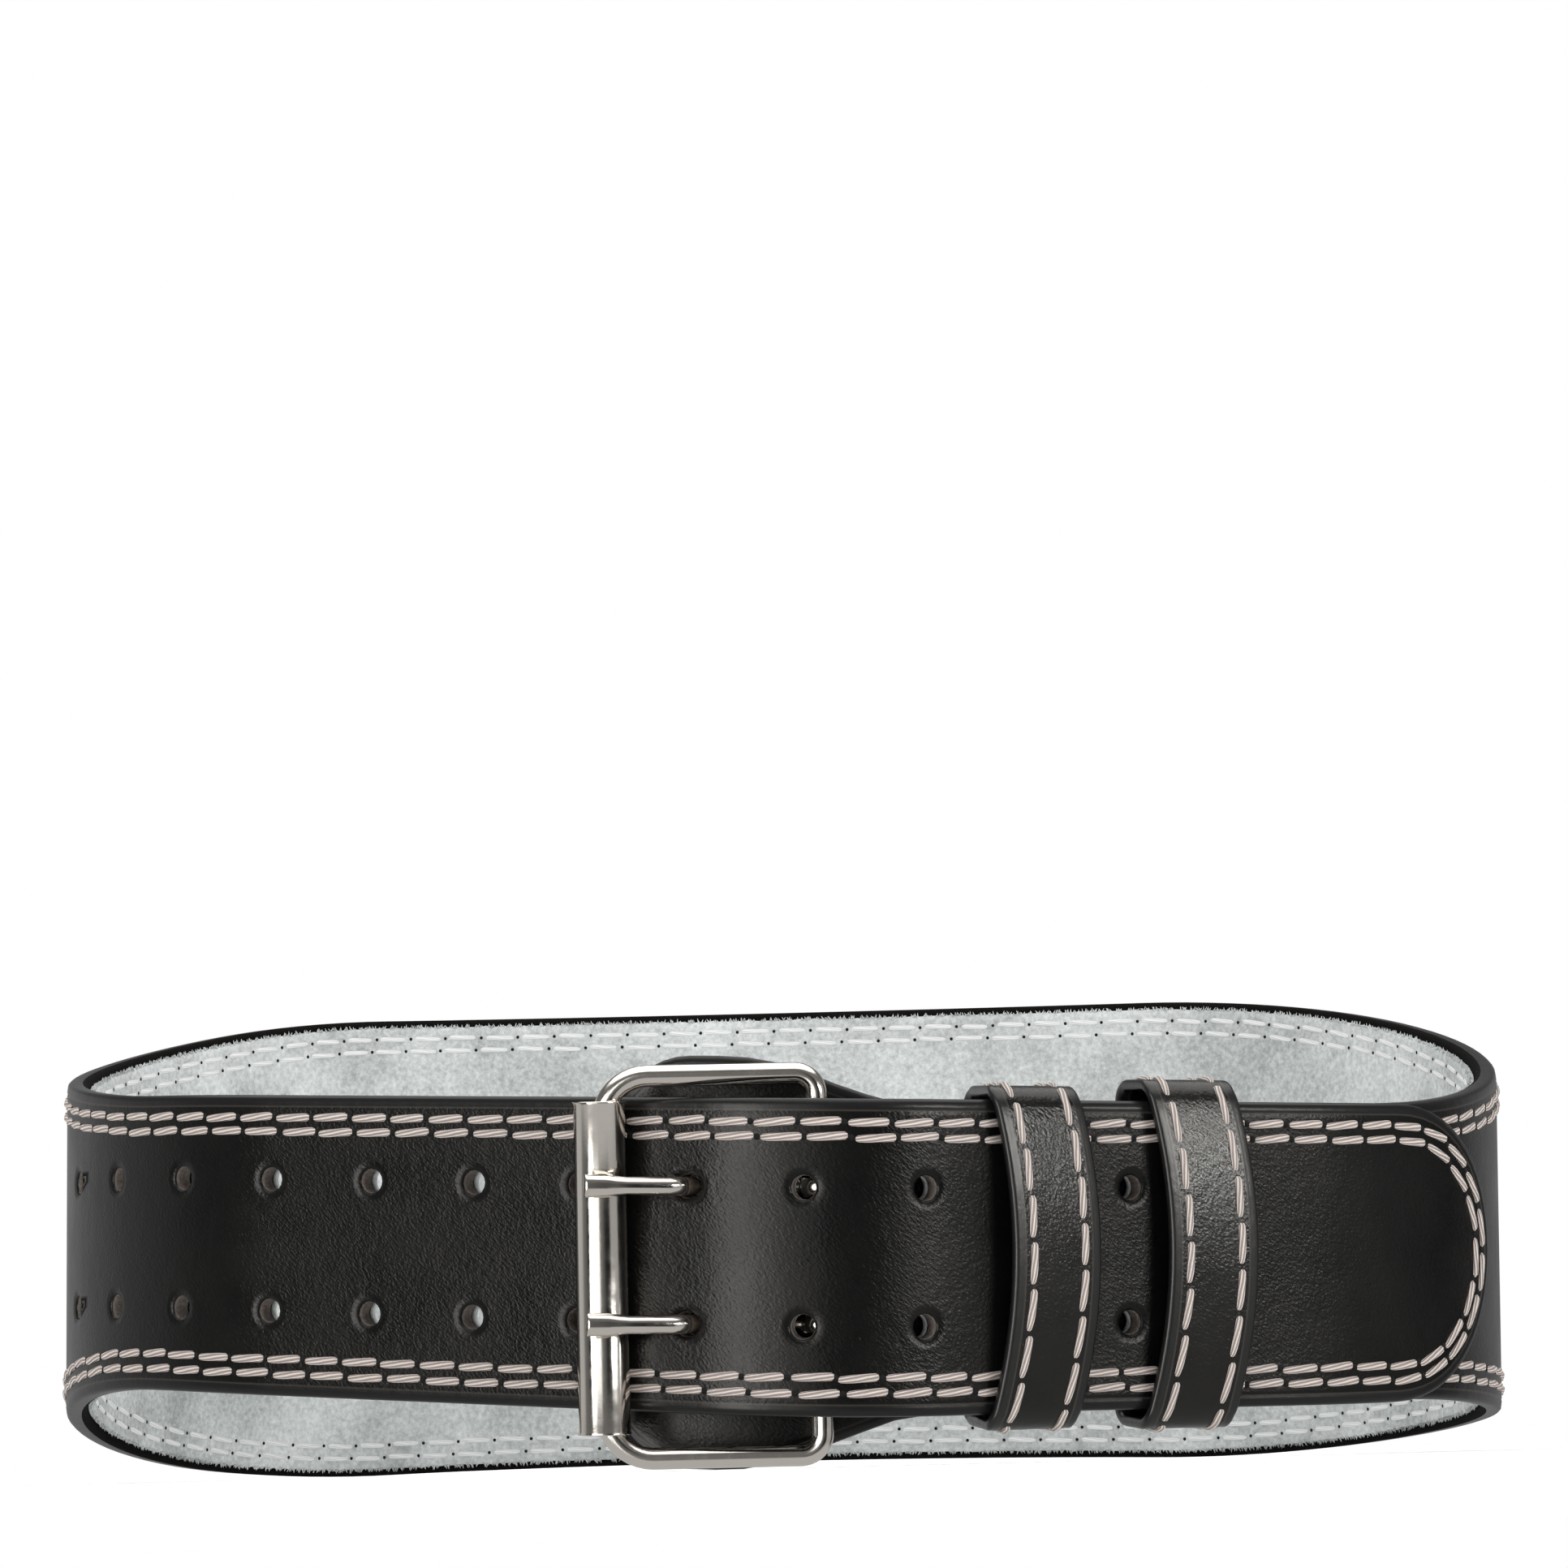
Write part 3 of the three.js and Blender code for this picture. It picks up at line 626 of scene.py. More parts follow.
def make_suede():
    bm = punched_sheet(
        suede_rows(), suede_spacing, fine_end_steps,
        ((0.0040, suede_top), (hole_radius, suede_top), (hole_radius, suede_middle + 0.0002)),
        ((0.0040, suede_face), (hole_radius, suede_face), (hole_radius, suede_middle - 0.0002)))
    distance = bm.verts.layers.float["from_edge"]
    for vert in bm.verts:
        if vert[distance] < lining_inset + ragged_band:
            rough = noise.noise(vert.co * 900) + 0.7 * noise.noise(vert.co * 2300)
            vert.co.y += copysign(ragged * rough, vert.co.y)
    bend(bm)
    return bm


def inset_outline(away, flared=True):
    """Flat points of a closed line inside the outline, which may run straight past the flare."""
    upper = [Vector((x - away * nx, max(half - away * ny, 0.0)))
             for x, half, nx, ny in outline_stations(line_spacing, fine_end_steps, flared)]
    return upper + [Vector((p.x, -p.y)) for p in reversed(upper[1:-1])]


def tuft_template():
    bm = bmesh.new()
    bmesh.ops.create_cone(bm, cap_ends=True, segments=3, radius1=tuft_root, radius2=tuft_tip,
                          depth=tuft_length,
                          matrix=lying @ Matrix.Translation((0, 0, tuft_length * 0.3)))
    return to_mesh(bm, "tuft template")


def copy_in(bm, template, place):
    """Adds a copy of a template, each point of which goes where place puts it."""
    first = len(bm.verts)
    bm.from_mesh(template)
    bm.verts.ensure_lookup_table()
    for vert in bm.verts[first:]:
        vert.co = place(vert.co)


def make_cut_edge():
    """Fibres that stand out of the suede's cut edge, which make it look torn."""
    shake = random.Random(21)
    tuft = tuft_template()
    path = inset_outline(lining_inset)
    bm = bmesh.new()
    for a, b in zip(path, path[1:] + path[:1]):
        outward = Vector((-(b - a).y, (b - a).x)).normalized()
        for _ in range(max(1, round((b - a).length / tuft_spacing))):
            root = a + (b - a) * shake.random()
            size = shake.uniform(0.35, 1.0)
            lay = atan2(outward.y, outward.x) + shake.uniform(-0.7, 0.7)
            depth = suede_face + 0.0001 + shake.random() * 0.0006
            place = (Matrix.Translation((root.x, root.y, depth)) @ Matrix.Rotation(lay, 4, "Z")
                     @ Matrix.Diagonal((size, 1, 1, 1)))
            copy_in(bm, tuft, lambda spot: place @ spot)
    bend(bm)
    return bm


def suede_material():
    """Split leather with a short nap that lies in soft lighter and darker patches."""
    material, node, wire = new_material("grey suede", (0.6, 0.63, 0.63), 0.95)
    patches = mottle(node, 35.0, 6.0, Roughness=0.65)
    specks = mottle(node, 800.0, 3.0, Roughness=0.7)
    mixed = ramp(node, maths(node, "MULTIPLY_ADD", specks, 0.9, patches), 0.68, 1.22)
    wire(blend(node, mixed, (0.33, 0.35, 0.345, 1), (0.76, 0.785, 0.775, 1)), "Base Color")
    wire(bump(node, specks, 0.5, 0.0002), "Normal")
    return material


grey_suede = suede_material()
finish_piece(make_suede(), "belt_lining_suede", "belt_lining", slot="grey_suede",
             paints=(grey_suede, grey_suede))
finish_piece(make_cut_edge(), "lining_cut_edge", slot="grey_suede", paints=(grey_suede,))

# The seams: two rows of lockstitches run right round the blank through leather and suede.
# The grain side shows a thick braided taupe thread, the suede side a thin white one, and both
# dive into the same needle holes. Each row has its distance from the edge and its first stitch.
stitch_pitch = 0.0096
stitch_length = 0.0099
seam_rows = ((0.0047, 0.5), (0.0078, 0.15))
thread_half_width = 0.00088
thread_rise = 0.00075
outer_slant = radians(3)
inner_slant = radians(1.5)
thin_stitch_length = 0.0084
thin_half_width = 0.00064
thin_rise = 0.00050
pressed_flat = 0.35
pressed_from = 0.018
pressed_past = 0.004
keeper_aside = 0.003
keeper_press = 0.017
needle_hole_outside = 0.00070
needle_hole_inside = 0.00042
keeper_spots = (0.052, 0.086)


def capped_tube(bm, sides, radius, rings, turn):
    """A tube closed at both ends, for now with all its rings in one place."""
    verts = bmesh.ops.create_circle(bm, segments=sides, radius=radius, cap_ends=True,
                                    matrix=turn)["verts"]
    edges = edges_of(verts)
    sections = [verts]
    for _ in range(rings - 1):
        verts, edges, _ = grow(bm, edges)
        sections.append(verts)
    bmesh.ops.contextual_create(bm, geom=edges)
    return sections


def stitch_template(length, half_width, rise, sides, rings, dive):
    """One stitch: a flattened thread whose ends turn down into the needle holes."""
    bm = bmesh.new()
    sections = [(verts, -1 + 2 * i / (rings - 1))
                for i, verts in enumerate(capped_tube(bm, sides, 1, rings, lying))]
    uv = bm.loops.layers.uv.new("flat")
    for face in bm.faces:
        for corner in face.loops:
            share = next(t for verts, t in sections if corner.vert in verts)
            angle = atan2(corner.vert.co.z, corner.vert.co.y) / (2 * pi)
            corner[uv].uv = (share * length / 2, angle * 0.005)
    for verts, t in sections:
        slim = 1 - 0.45 * max(-t, 0) ** 2 - 0.35 * max(t, 0) ** 5
        low = -dive * abs(t) ** 8 + 0.1 * rise
        for vert in verts:
            vert.co = Vector((t * length / 2, vert.co.y * half_width * slim,
                              vert.co.z * rise * 0.9 * slim + low))
    turn_outward(bm)
    return to_mesh(bm, "stitch template")


def is_pressed(length):
    """True where another layer or a keeper lies on the grain side and flattens the thread."""
    under_strap = bar_inside + pressed_from < length < bar_inside + tip_reach + pressed_past
    return under_strap or any(abs(length - bar_outside - spot + keeper_aside) < keeper_press
                              for spot in keeper_spots)


def seam_spots(away, start):
    """Evenly spread places along one row of stitches, each with the row's direction there."""
    path = inset_outline(away, flared=False)
    path.append(path[0])
    lengths = running_lengths(path)
    count = round(lengths[-1] / stitch_pitch)
    for number in range(count):
        i, share = find_on(lengths, lengths[-1] * (number + start) / count % lengths[-1])
        yield path[i - 1].lerp(path[i], share), (path[i] - path[i - 1]).normalized()


def sew(template, depth, facing, squash_under, slant, seed):
    """Copies a stitch along every seam; facing is 1 on the grain side and -1 on the suede."""
    shake = random.Random(seed)
    bm = bmesh.new()
    for away, start in seam_rows:
        for centre, along in seam_spots(away, start):
            along = -along if along.x < -0.05 else along
            tilt = atan2(along.y, along.x) + slant + shake.uniform(-0.03, 0.03)
            centre += Vector((shake.uniform(-0.0002, 0.0002), shake.uniform(-0.00018, 0.00018)))
            flatten = pressed_flat if squash_under and is_pressed(centre.x) else 1.0
            place = (Matrix.Translation((centre.x, centre.y, depth))
                     @ Matrix.Rotation(tilt, 4, "Z")
                     @ Matrix.Diagonal((shake.uniform(0.97, 1.03), 1, facing * flatten, 1)))
            copy_in(bm, template, lambda spot: place @ spot)
    turn_outward(bm)
    bend(bm)
    return bm


def needle_hole_shade_discs(depth, radius):
    """Thin black discs between the stitches, where the needle went through: painted shade for the
    dark insides of the needle holes.
    """
    bm = bmesh.new()
    for away, start in seam_rows:
        for centre, _ in seam_spots(away, start + 0.5):
            bmesh.ops.create_cone(bm, cap_ends=True, segments=8, radius1=radius, radius2=radius,
                                  depth=0.0001, matrix=Matrix.Translation((*centre, depth)))
    turn_outward(bm)
    bend(bm)
    return bm


def thread_material(name, dark, light, strength):
    """Braided thread: strands cross it in slanted ridges, and the darker colour between the ridges
    is painted shade in the grooves of the braid.
    """
    material, node, wire = new_material(name, light, 0.55)
    flat = node("TexCoord")["UV"]
    turned = node("Mapping", Vector=flat, Rotation=(0, 0, radians(-83)))
    strand_ridges_and_groove_shade = node("TexWave", {"wave_type": "BANDS"}, Vector=turned["Vector"],
                   Scale=370.0, Distortion=0.8, Detail=2.0)["Fac"]
    # The colour goes dark between the strands: painted shade in the grooves. The light colour is the
    # thread's own.
    wire(blend(node, strand_ridges_and_groove_shade, (*dark, 1), (*light, 1)), "Base Color")
    wire(bump(node, strand_ridges_and_groove_shade, strength, 0.0003), "Normal")
    return material


thick = stitch_template(stitch_length, thread_half_width, thread_rise, sides=8, rings=9,
                        dive=0.0011)
thin = stitch_template(thin_stitch_length, thin_half_width, thin_rise, sides=6, rings=7,
                       dive=0.0007)
# The darker colour of each thread is painted shade between its strands.
taupe_thread = thread_material("braided taupe thread", (0.26, 0.215, 0.195),
                               (0.82, 0.73, 0.67), 0.9)
white_thread = thread_material("thin white thread", (0.7, 0.7, 0.7), (0.9, 0.9, 0.9), 0.3)
# Painted shade: a near-black for the discs that stand in for the shadowed needle holes.
needle_hole_shade_black, _, _ = new_material("needle hole", (0.004, 0.004, 0.004), 0.9)
outer_seams = sew(thick, 0.0, facing=1, squash_under=True, slant=outer_slant, seed=3)
finish_piece(outer_seams, "outer_stitches", slot="black_leather", paints=(taupe_thread,))
inner_seams = sew(thin, suede_face, facing=-1, squash_under=False, slant=inner_slant, seed=4)
finish_piece(inner_seams, "inner_stitches", slot="grey_suede", paints=(white_thread,))
finish_piece(needle_hole_shade_discs(0.0, needle_hole_outside), "outer_needle_hole_shade",
             slot="black_leather", paints=(needle_hole_shade_black,))
finish_piece(needle_hole_shade_discs(suede_face, needle_hole_inside), "inner_needle_hole_shade",
             slot="grey_suede", paints=(needle_hole_shade_black,))

# The buckle frame: one piece of round wire bent to a rectangle with round corners and plated
# bright nickel. Its right side is the bar that the leather tab holds, its left side carries the
# roller, and it hangs a little askew.
wire_radius = 0.0022
bar_from_peak = 0.0021
bar_depth = 0.0118
bar_to_roller = 0.0435
frame_side_room = 0.0045
buckle_drop = 0.0015
buckle_lean = radians(1.6)
bar = Vector((peak_x - bar_from_peak, bar_depth))
frame_half = strap_half + frame_side_room + wire_radius
side_radius = 0.0093
bar_side_radius = 0.0044
roller_radius = 0.00525
roller_wall = 0.0009
roller_length = 0.0669
roller_shift = 0.0005


def roller_spot():
    """The roller touches the front of the strap, left of the bar."""
    reach = roller_length / 2 * tan(buckle_lean) * sin(radians(peak_bend[1]))
    length = bar_outside
    spot = on_route(length)
    while spot.x > bar.x - bar_to_roller - roller_shift:
        length -= route_step / 4
        at, _, out = route_frame(length)
        spot = at + out * (roller_radius + seat_gap + reach)
    return spot


roller_at = roller_spot()
slack = roller_radius - wire_radius - roller_wall - seat_gap
over_bend = roller_length / 2 - (frame_half - side_radius)
aside = roller_shift + side_radius - sqrt(side_radius ** 2 - over_bend ** 2)
roller_bar = Vector((roller_at.x + roller_shift,
                     roller_at.y - sqrt(max(0.0, slack ** 2 - aside ** 2))))


def hang(bm):
    """Leans what belongs to the buckle about its bar, and puts it in the standing belt."""
    for vert in bm.verts:
        x, z = turned(vert.co.x - bar.x, vert.co.z + buckle_drop, buckle_lean)
        vert.co = stand(bar.x + x, vert.co.y, z - buckle_drop)


def make_frame():
    across = bar - roller_bar
    reach = across.length
    bm = bmesh.new()
    ring = bmesh.ops.create_circle(bm, segments=20, radius=wire_radius,
                                   matrix=Matrix.Translation((side_radius, 0, -frame_half))
                                   @ lying)["verts"]
    edges = edges_of(ring)
    heading = 0
    at = Vector((side_radius, 0, -frame_half))
    for x, z, radius in ((reach, -frame_half, bar_side_radius), (reach, frame_half, bar_side_radius),
                         (0, frame_half, side_radius), (0, -frame_half, side_radius)):
        ahead = Vector((cos(heading), 0, sin(heading)))
        centre = Vector((x - radius if x > 0 else x + radius, 0, z - copysign(radius, z)))
        run = (centre - at).dot(ahead)
        if run > 1e-6:
            verts, edges, _ = grow(bm, edges)
            bmesh.ops.translate(bm, verts=verts, vec=ahead * run)
        verts = list({vert for edge in edges for vert in edge.verts})
        made = bmesh.ops.spin(bm, geom=verts + edges, cent=centre, axis=(0, -1, 0),
                              angle=radians(90), steps=10, use_duplicate=False)
        edges = [g for g in made["geom_last"] if isinstance(g, bmesh.types.BMEdge)]
        heading += radians(90)
        at = centre + Matrix.Rotation(-heading, 3, "Y") @ Vector((0, 0, -radius))
    bmesh.ops.remove_doubles(bm, verts=bm.verts, dist=2e-6)
    turn_outward(bm)
    across.normalize()
    for vert in bm.verts:
        x, y, z = vert.co
        spot = roller_bar + across * x + Vector((across.y, -across.x)) * -y
        vert.co = (spot.x, spot.y, z - buckle_drop)
    hang(bm)
    return bm


def nickel_material():
    """Bright nickel plate: almost a mirror, with faint polishing haze and a warm cast."""
    material, node, wire = new_material("bright nickel", (0.80, 0.755, 0.69), 0.12, 1.0)
    wire(ramp(node, mottle(node, 420.0, 4.0), 0.3, 0.7, 0.09, 0.2), "Roughness")
    wire(bump(node, mottle(node, 1600.0, 2.0), 0.06, 0.0001), "Normal")
    return material


nickel = nickel_material()
finish_piece(make_frame(), "buckle_frame_wire", "buckle_frame", slot="nickel", paints=(nickel,))

# The roller: a short tube of plated sheet that turns freely on the frame's left side.
# Its two ends are turned over to a thin bright lip.
roller_lip = 0.0005


def make_roller():
    bm = bmesh.new()
    half = roller_length / 2
    lower = [(-roller_wall, -half), (-roller_lip, -half), (0.0002, -half),
             (0.00025, -half + 0.0003), (0.0, -half + 0.0007)]
    profile = lower + [(over, -z) for over, z in reversed(lower)]
    verts = [bm.verts.new((roller_radius + over, 0, z)) for over, z in profile]
    edges = [bm.edges.new(pair) for pair in zip(verts, verts[1:] + verts[:1])]
    bmesh.ops.spin(bm, geom=verts + edges, cent=(0, 0, 0), axis=(0, 0, 1),
                   angle=radians(360), steps=48, use_merge=True)
    turn_outward(bm)
    bmesh.ops.translate(bm, verts=bm.verts, vec=(roller_at.x, roller_at.y, -buckle_drop))
    hang(bm)
    return bm


finish_piece(make_roller(), "buckle_roller_tube", "buckle_roller", slot="nickel",
             paints=(nickel,))

# The prongs: two plated rods, each with an eye round the bar. They come out through a pair of
# holes and lie on the roller, where their tips are hammered flat and cut square.
prong_radius = 0.00195
prong_overhang = 0.0030
spade_width = 0.00235
spade_length = 0.0085
spade_thin = 0.82
eye_thickness = 0.0020
prong_pull = 0.0017
prong_clear = 0.0006
knee = 0.0014


def prong_rows():
    """The rod's sections from the eye to the tip: place, direction, width and thickness."""
    start = bar + Vector((-(wire_radius + seat_gap + eye_thickness / 2), 0))
    crest = roller_at + Vector((0, -(roller_radius + seat_gap + prong_radius)))
    along = (crest - start).normalized()
    end = crest + along * prong_overhang
    face, _, out = route_frame(hole_places[prong_pair] + prong_stretch * 0.6)
    inside = face - out * (ply_thickness + prong_radius + prong_clear)
    above = start + along * ((face.x - start.x - prong_pull) / along.x)
    behind = (inside - start).normalized()
    through = (above - inside).normalized()
    path = [(start, behind), (inside - behind * knee, behind),
            (inside + (through - behind) * knee * 0.3, (behind + through).normalized()),
            (inside + through * knee, through), (above - through * knee, through),
            (above + (along - through) * knee * 0.3, (along + through).normalized()),
            (above + along * knee, along)]
    rows = [(point, way, 1.0, 1.0) for point, way in path]
    flat = spade_width / prong_radius
    for from_end, wide, thick in ((spade_length, 1.0, 1.0), (spade_length * 0.75, 1.07, 0.96),
                                  (spade_length / 2, flat, spade_thin),
                                  (0.0005, flat, spade_thin),
                                  (0.0001, flat * 0.98, spade_thin * 0.95),
                                  (0.0, flat * 0.92, spade_thin * 0.82)):
        rows.append((end - along * from_end, along, wide, thick))
    return rows


def make_prong(height):
    aside = -(height + buckle_drop) * tan(buckle_lean)
    bm = bmesh.new()
    rows = prong_rows()
    sections = capped_tube(bm, 20, prong_radius, len(rows), Matrix())
    for verts, (point, way, wide, thick) in zip(sections, rows):
        for vert in verts:
            spot = point + Vector((-way.y, way.x)) * vert.co.y * thick
            vert.co = (spot.x + aside, spot.y, height + vert.co.x * wide)
    rod = set(bm.verts)
    tube = bmesh.ops.create_circle(bm, segments=12, radius=1,
                                   matrix=Matrix.Rotation(radians(90), 4, "X"))["verts"]
    eye_middle = wire_radius + seat_gap + eye_thickness / 2
    for vert in tube:
        vert.co = Vector((bar.x + eye_middle + vert.co.x * eye_thickness / 2, bar.y,
                          vert.co.z * spade_width))
    bmesh.ops.spin(bm, geom=tube + edges_of(tube), cent=(bar.x, bar.y, 0), axis=(0, 0, 1),
                   angle=radians(360), steps=28, use_merge=True)
    eye = [vert for vert in bm.verts if vert not in rod]
    bmesh.ops.translate(bm, verts=eye, vec=(aside, 0, height))
    turn_outward(bm)
    for vert in bm.verts:
        vert.co = stand(*vert.co)
    return bm


for name, height in (("prong_upper", hole_row), ("prong_lower", -hole_row)):
    finish_piece(make_prong(height), name + "_rod", name, slot="nickel", paints=(nickel,))

# The tab: the leather fold that holds the buckle's bar. It stays the CAD piece, hidden between
# the two layers, in the strap's leather.
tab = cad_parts["buckle_tab"]
tab.data.materials.clear()
tab.data.materials.append(leather_material("black tab leather", edges=False))

# The keepers: two loops of thinner black leather with rounded edges and a row of stitches
# along each side. Both have slid a little along the strap and their fronts bow to the right.
keeper_width = 0.021
keeper_thickness = 0.0023
keeper_corner = 0.0046
keeper_round = 0.0008
keeper_seam = 0.0043
keeper_bulge = 0.0030
keepers = (("keeper_inner", 0.0008, -0.0002, -0.007, 0.0032),
           ("keeper_outer", 0.0020, 0.0002, -0.002, 0.0038))


def keeper_path(nearest, farthest, half, lift):
    """Points round the loop's outer face with their outward directions, from mid-front up."""
    r = keeper_corner
    front = nearest + seat_gap + keeper_thickness
    back = farthest - seat_gap - keeper_thickness
    top = half + keeper_thickness
    points = []
    for turn, (x, y), (end_x, end_y), steps in (
            (0, (front, -top + r), (front, top - r), 22),
            (90, (front - r, top), (back + r, top), 4),
            (180, (back, top - r), (back, -top + r), 22),
            (270, (back + r, -top), (front - r, -top), 4)):
        a, b = Vector((x, y)), Vector((end_x, end_y))
        normal = Vector((round(cos(radians(turn))), round(sin(radians(turn)))))
        points += [(a.lerp(b, k / steps), normal) for k in range(steps)]
        centre = b - normal * r
        for k in range(6):
            angle = radians(turn + 90 * k / 6)
            out = Vector((cos(angle), sin(angle)))
            points.append((centre + out * r, out))
    return [(p + Vector((0, lift)), n) for p, n in points]


def keeper_rows():
    """The strip's section: place across it and depth below its outer face."""
    half = keeper_width / 2
    face = [(-half + d, 0.0) for d in (0.0026, 0.0045, 0.0075)] + [(0.0, 0.0)]
    face += [(-across, depth) for across, depth in reversed(face[:-1])]
    edge = [(keeper_round + 0.0012, 0.0), (keeper_round + 0.0008, 0.00008), (keeper_round, 0.0),
            (keeper_round * 0.3, keeper_round * 0.3), (0.0, keeper_round),
            (0.0, keeper_thickness - keeper_round),
            (keeper_round * 0.3, keeper_thickness - keeper_round * 0.3),
            (keeper_round, keeper_thickness)]
    right = [(half - d, depth) for d, depth in edge]
    left = [(d - half, depth) for d, depth in reversed(edge)]
    return face + right + [(0.0, keeper_thickness)] + left


def keeper_placer(from_bar, play, lift, slide, bow):
    """Fits a keeper between the strap's front and the lining's back, where both are farthest out."""
    at, strap_ahead, _ = route_frame(bar_outside + from_bar)
    _, under_ahead, _ = route_frame(bar_inside + from_bar)
    forward = (strap_ahead + under_ahead).normalized()
    outward = Vector((forward.y, -forward.x))
    low = min(slide, slide + bow, 0) - keeper_width / 2 - route_step
    high = max(slide, slide + bow, 0) + keeper_width / 2 + route_step
    nearest, farthest = -1.0, 1.0
    for step in range(-100, 101):
        offset = from_bar + step * route_step / 2
        over = on_route(bar_outside + offset) - at
        if low < over.dot(forward) < high:
            nearest = max(nearest, over.dot(outward))
        spot, _, out = route_frame(bar_inside + offset)
        inside = spot - out * ply_thickness - at
        if low < inside.dot(forward) < high:
            farthest = min(farthest, inside.dot(outward))
    half = strap_half + play

    def place(out, height, across):
        depth = min(max((out - farthest) / (nearest - farthest), 0), 1)
        rise = min(max((height - lift) / half, -1), 1)
        across += depth * (slide + bow * (1 - rise * rise))
        out += keeper_bulge * depth * (1 - rise * rise)
        spot = at + outward * out + forward * across
        return stand(spot.x, spot.y, height)

    return place, keeper_path(nearest, farthest, half, lift)


def make_keeper(place, path):
    rows = keeper_rows()
    bm = bmesh.new()
    bmesh.ops.create_grid(bm, x_segments=len(path), y_segments=len(rows), size=1)
    distance = bm.verts.layers.float.new("from_edge")
    uv = bm.loops.layers.uv.new("flat")
    around = running_lengths([spot for spot, _ in path + path[:1]])

    def cell(vert):
        row = round((vert.co.y + 1) / 2 * len(rows)) % len(rows)
        return round((vert.co.x + 1) / 2 * len(path)), rows[row]

    for face in bm.faces:
        for corner in face.loops:
            step, (across, _) = cell(corner.vert)
            corner[uv].uv = (across, around[step])
    for vert in bm.verts:
        step, (across, depth) = cell(vert)
        spot, normal = path[step % len(path)]
        spot = spot - normal * depth
        vert[distance] = keeper_width / 2 - abs(across)
        vert.co = place(spot.x, spot.y, across)
    bmesh.ops.remove_doubles(bm, verts=bm.verts, dist=1e-6)
    turn_outward(bm)
    return bm


def sew_keeper(place, path, seed):
    """Stitches along both sides of a keeper, round its front, edges and back."""
    shake = random.Random(seed)
    closed = path + path[:1]
    lengths = running_lengths([spot for spot, _ in closed])
    count = round(lengths[-1] / stitch_pitch)
    bm = bmesh.new()
    for side in (-1, 1):
        for number in range(count):
            middle = lengths[-1] * (number + 0.3 + 0.2 * side) / count
            tilt = outer_slant + shake.uniform(-0.03, 0.03)

            def lay(spot):
                along, across = turned(spot.x, spot.y, tilt)
                i, share = find_on(lengths, (middle + along) % lengths[-1])
                at = closed[i - 1][0].lerp(closed[i][0], share)
                at += closed[i - 1][1].lerp(closed[i][1], share).normalized() * spot.z
                return place(at.x, at.y, side * (keeper_width / 2 - keeper_seam) + across)

            copy_in(bm, thick, lay)
    turn_outward(bm)
    return bm


polished_leather = leather_material("polished keeper leather", True, gloss=0.5, roughest=0.27)
for seed, from_bar, (name, *fit) in zip((10, 11), keeper_spots, keepers):
    place, path = keeper_placer(from_bar, *fit)
    finish_piece(make_keeper(place, path), name + "_loop", name, slot="keeper_leather",
                 paints=(polished_leather,))
    finish_piece(sew_keeper(place, path, seed), name + "_stitches", slot="keeper_leather",
                 paints=(taupe_thread,))

# The studio: a plain white floor, and round the belt a dim room with tall panels of light.
# The camera stands low in front of the buckle and looks up a little, as for a catalogue picture.
floor_half = 6
floor_bm = bmesh.new()
bmesh.ops.create_grid(floor_bm, x_segments=1, y_segments=1, size=floor_half)
floor = new_object("floor", to_mesh(floor_bm, "floor"))
floor.visible_glossy = False
floor_paint, _, _ = new_material("white floor", (0.90, 0.90, 0.90), 0.9,
                                 Emission_Color=(1, 1, 1, 1), Emission_Strength=0.25)
floor.data.materials.append(floor_paint)

# How bright the studio is at each heading, in degrees from the camera, negative to the left
horizon = ((-180, 0.45), (-130, 0.50), (-95, 0.45), (-85, 0.18), (-66, 0.10), (-62, 0.03),
           (-54, 0.03), (-48, 7.0), (-36, 7.0), (-30, 1.5), (-9, 1.5), (-4, 0.24), (14, 0.08),
           (22, 0.02), (38, 0.02), (46, 0.36), (92, 0.36), (100, 0.06), (118, 0.06), (128, 0.40),
           (152, 0.40), (165, 0.35), (180, 0.45))
brightest = 10.0
# How bright it is past a rise or a fall, in degrees: over the panels, overhead and underfoot
storeys = ((14.0, 24.0, 0.15), (40.0, 52.0, 2.0), (-18.0, -30.0, 0.5))
lamp_headings = (42.0, 62.0, 3.0)
lamp_rises = (5.0, 11.0, 1.5)
lamp_strength = 25.0


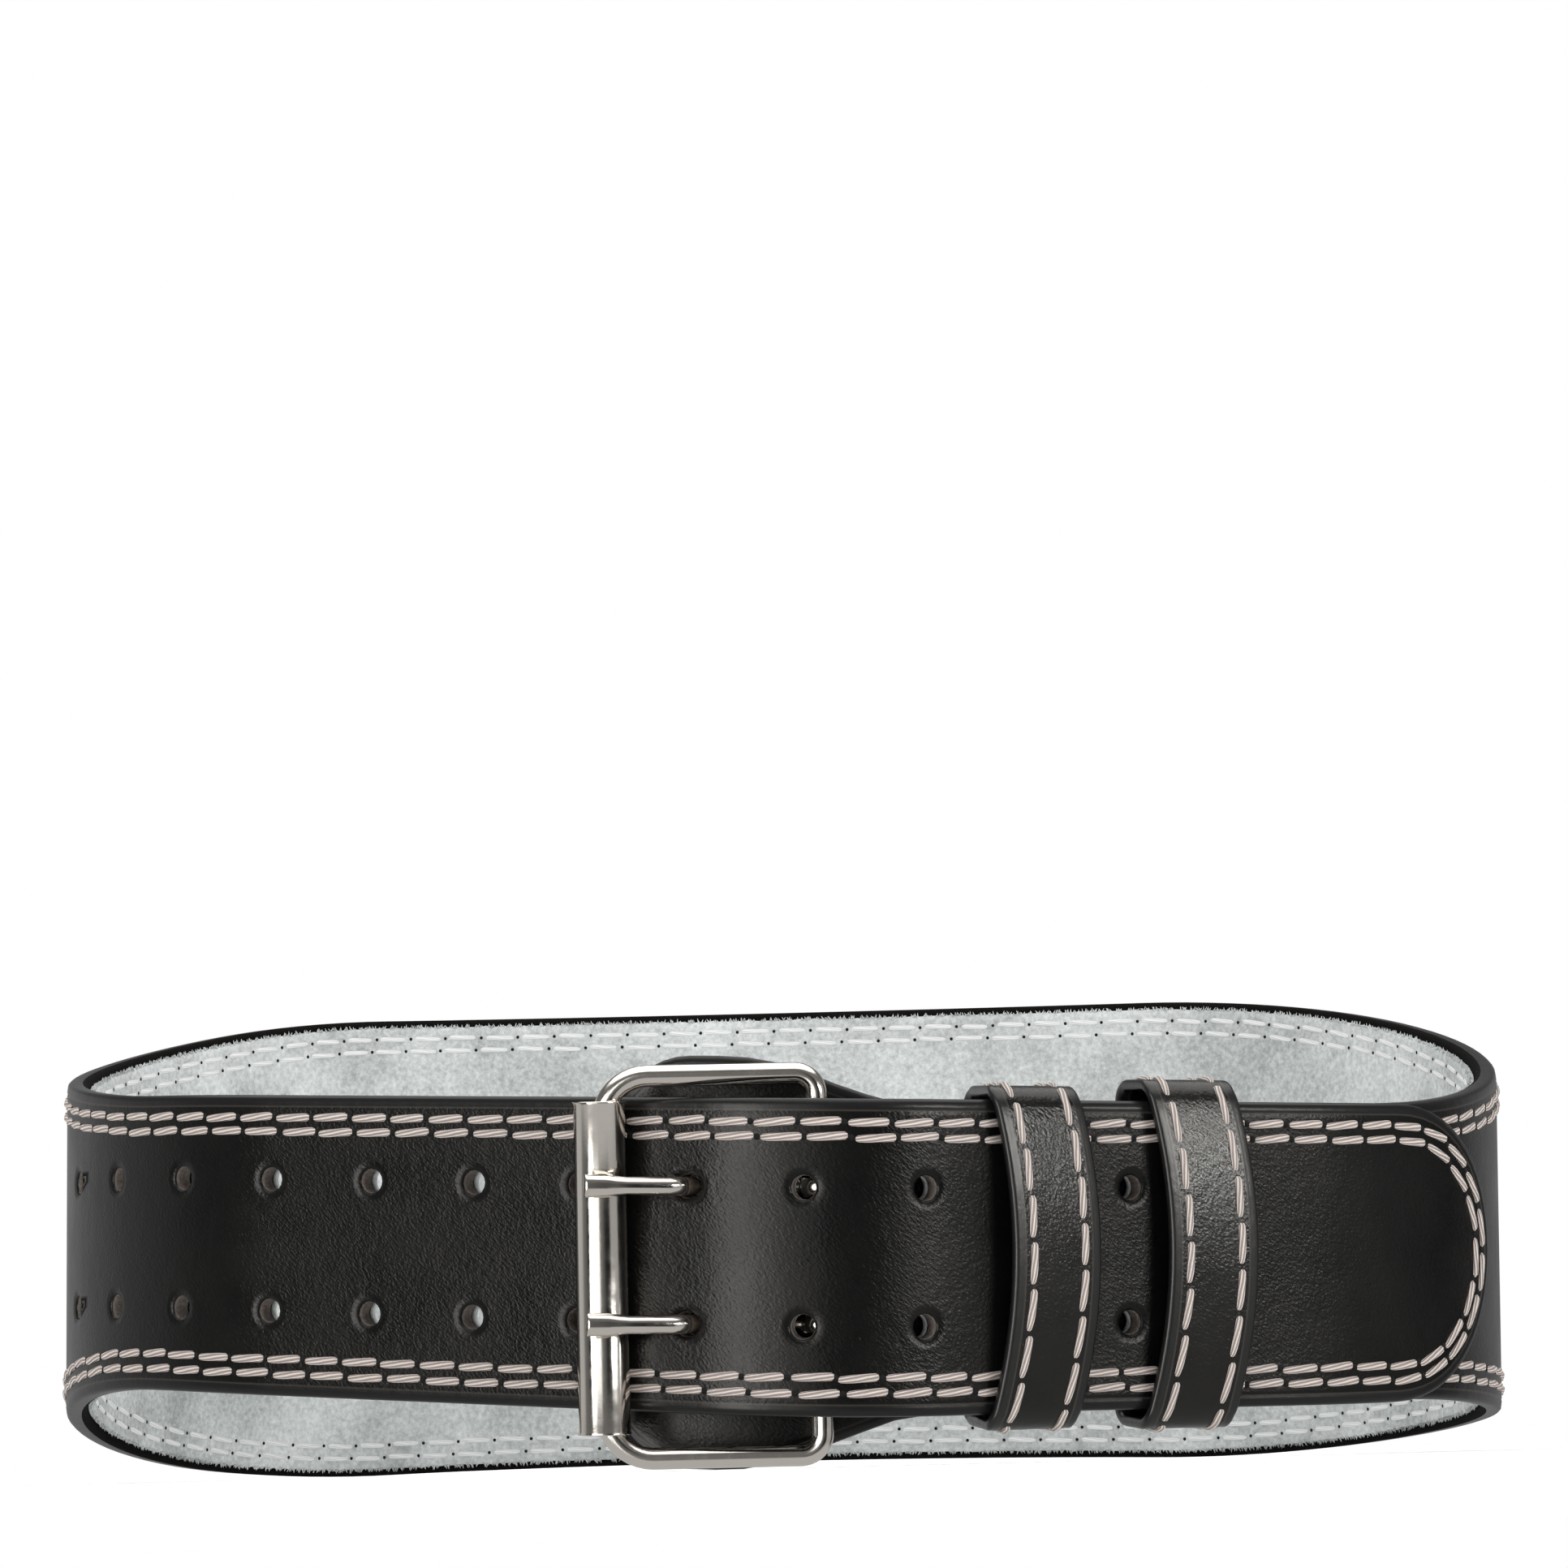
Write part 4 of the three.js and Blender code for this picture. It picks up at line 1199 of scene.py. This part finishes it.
def studio_world():
    """White to the camera; to the belt a dim room with panels of light round it."""
    world = bpy.data.worlds.new("studio")
    world.use_nodes = True
    tree = world.node_tree
    back = tree.nodes["Background"]
    node = node_maker(tree)

    def between(value, low, high, soft):
        rise = ramp(node, value, low - soft, low + soft, soft=True)
        return maths(node, "MULTIPLY", rise,
                     ramp(node, value, high - soft, high + soft, 1.0, 0.0, soft=True))

    way = node("SeparateXYZ", Vector=node("TexCoord")["Generated"])
    toward = maths(node, "MULTIPLY", way["Y"], -1.0)
    heading = maths(node, "DEGREES", maths(node, "ARCTAN2", way["X"], toward))
    rise = maths(node, "DEGREES", maths(node, "ARCSINE", way["Z"]))
    panels = tree.nodes.new("ShaderNodeValToRGB")
    tree.links.new(maths(node, "MULTIPLY_ADD", heading, 1 / 360, 0.5), panels.inputs["Fac"])
    stops = panels.color_ramp.elements
    for degrees, _ in horizon[1:-1]:
        stops.new((degrees + 180) / 360)
    for stop, (degrees, strength) in zip(stops, horizon):
        stop.position = (degrees + 180) / 360
        stop.color = (strength / brightest,) * 3 + (1,)
    light = maths(node, "MULTIPLY", panels.outputs["Color"], brightest)
    for low, high, strength in storeys:
        light = blend(node, ramp(node, rise, low, high, soft=True), light, strength)
    lamp = maths(node, "MULTIPLY", between(heading, *lamp_headings), between(rise, *lamp_rises))
    light = maths(node, "MULTIPLY_ADD", lamp, lamp_strength, light)
    light = blend(node, node("LightPath")["Is Camera Ray"], light, 1.0)
    tree.links.new(light, back.inputs["Strength"])
    back.inputs["Color"].default_value = (1, 1, 1, 1)
    return world


bpy.context.scene.world = studio_world()

camera_reach = 0.930
camera_side = 0.0015
camera_rise = 0.0295
camera_clear = 0.0015
camera_tilt = radians(4.175)
camera_roll = radians(1.38)
aim_behind = 0.02
focal_pixels = 5710
picture_pixels = 1932
sensor_width = 36.0
eye = Matrix.Rotation(front_lean, 3, "X") @ Vector((camera_side, -camera_reach, camera_rise))
eye += rest_shift + Vector((0, 0, camera_clear))
pitch = camera_tilt + front_lean - camera_clear / (camera_reach + aim_behind)
camera = new_object("camera", bpy.data.cameras.new("camera"))
camera.data.sensor_width = sensor_width
camera.data.lens = focal_pixels / picture_pixels * sensor_width
camera.matrix_world = (Matrix.Translation(eye) @ Matrix.Rotation(radians(90) + pitch, 4, "X")
                       @ Matrix.Rotation(-camera_roll, 4, "Z"))
bpy.context.scene.camera = camera
bpy.context.scene.view_settings.view_transform = "Standard"
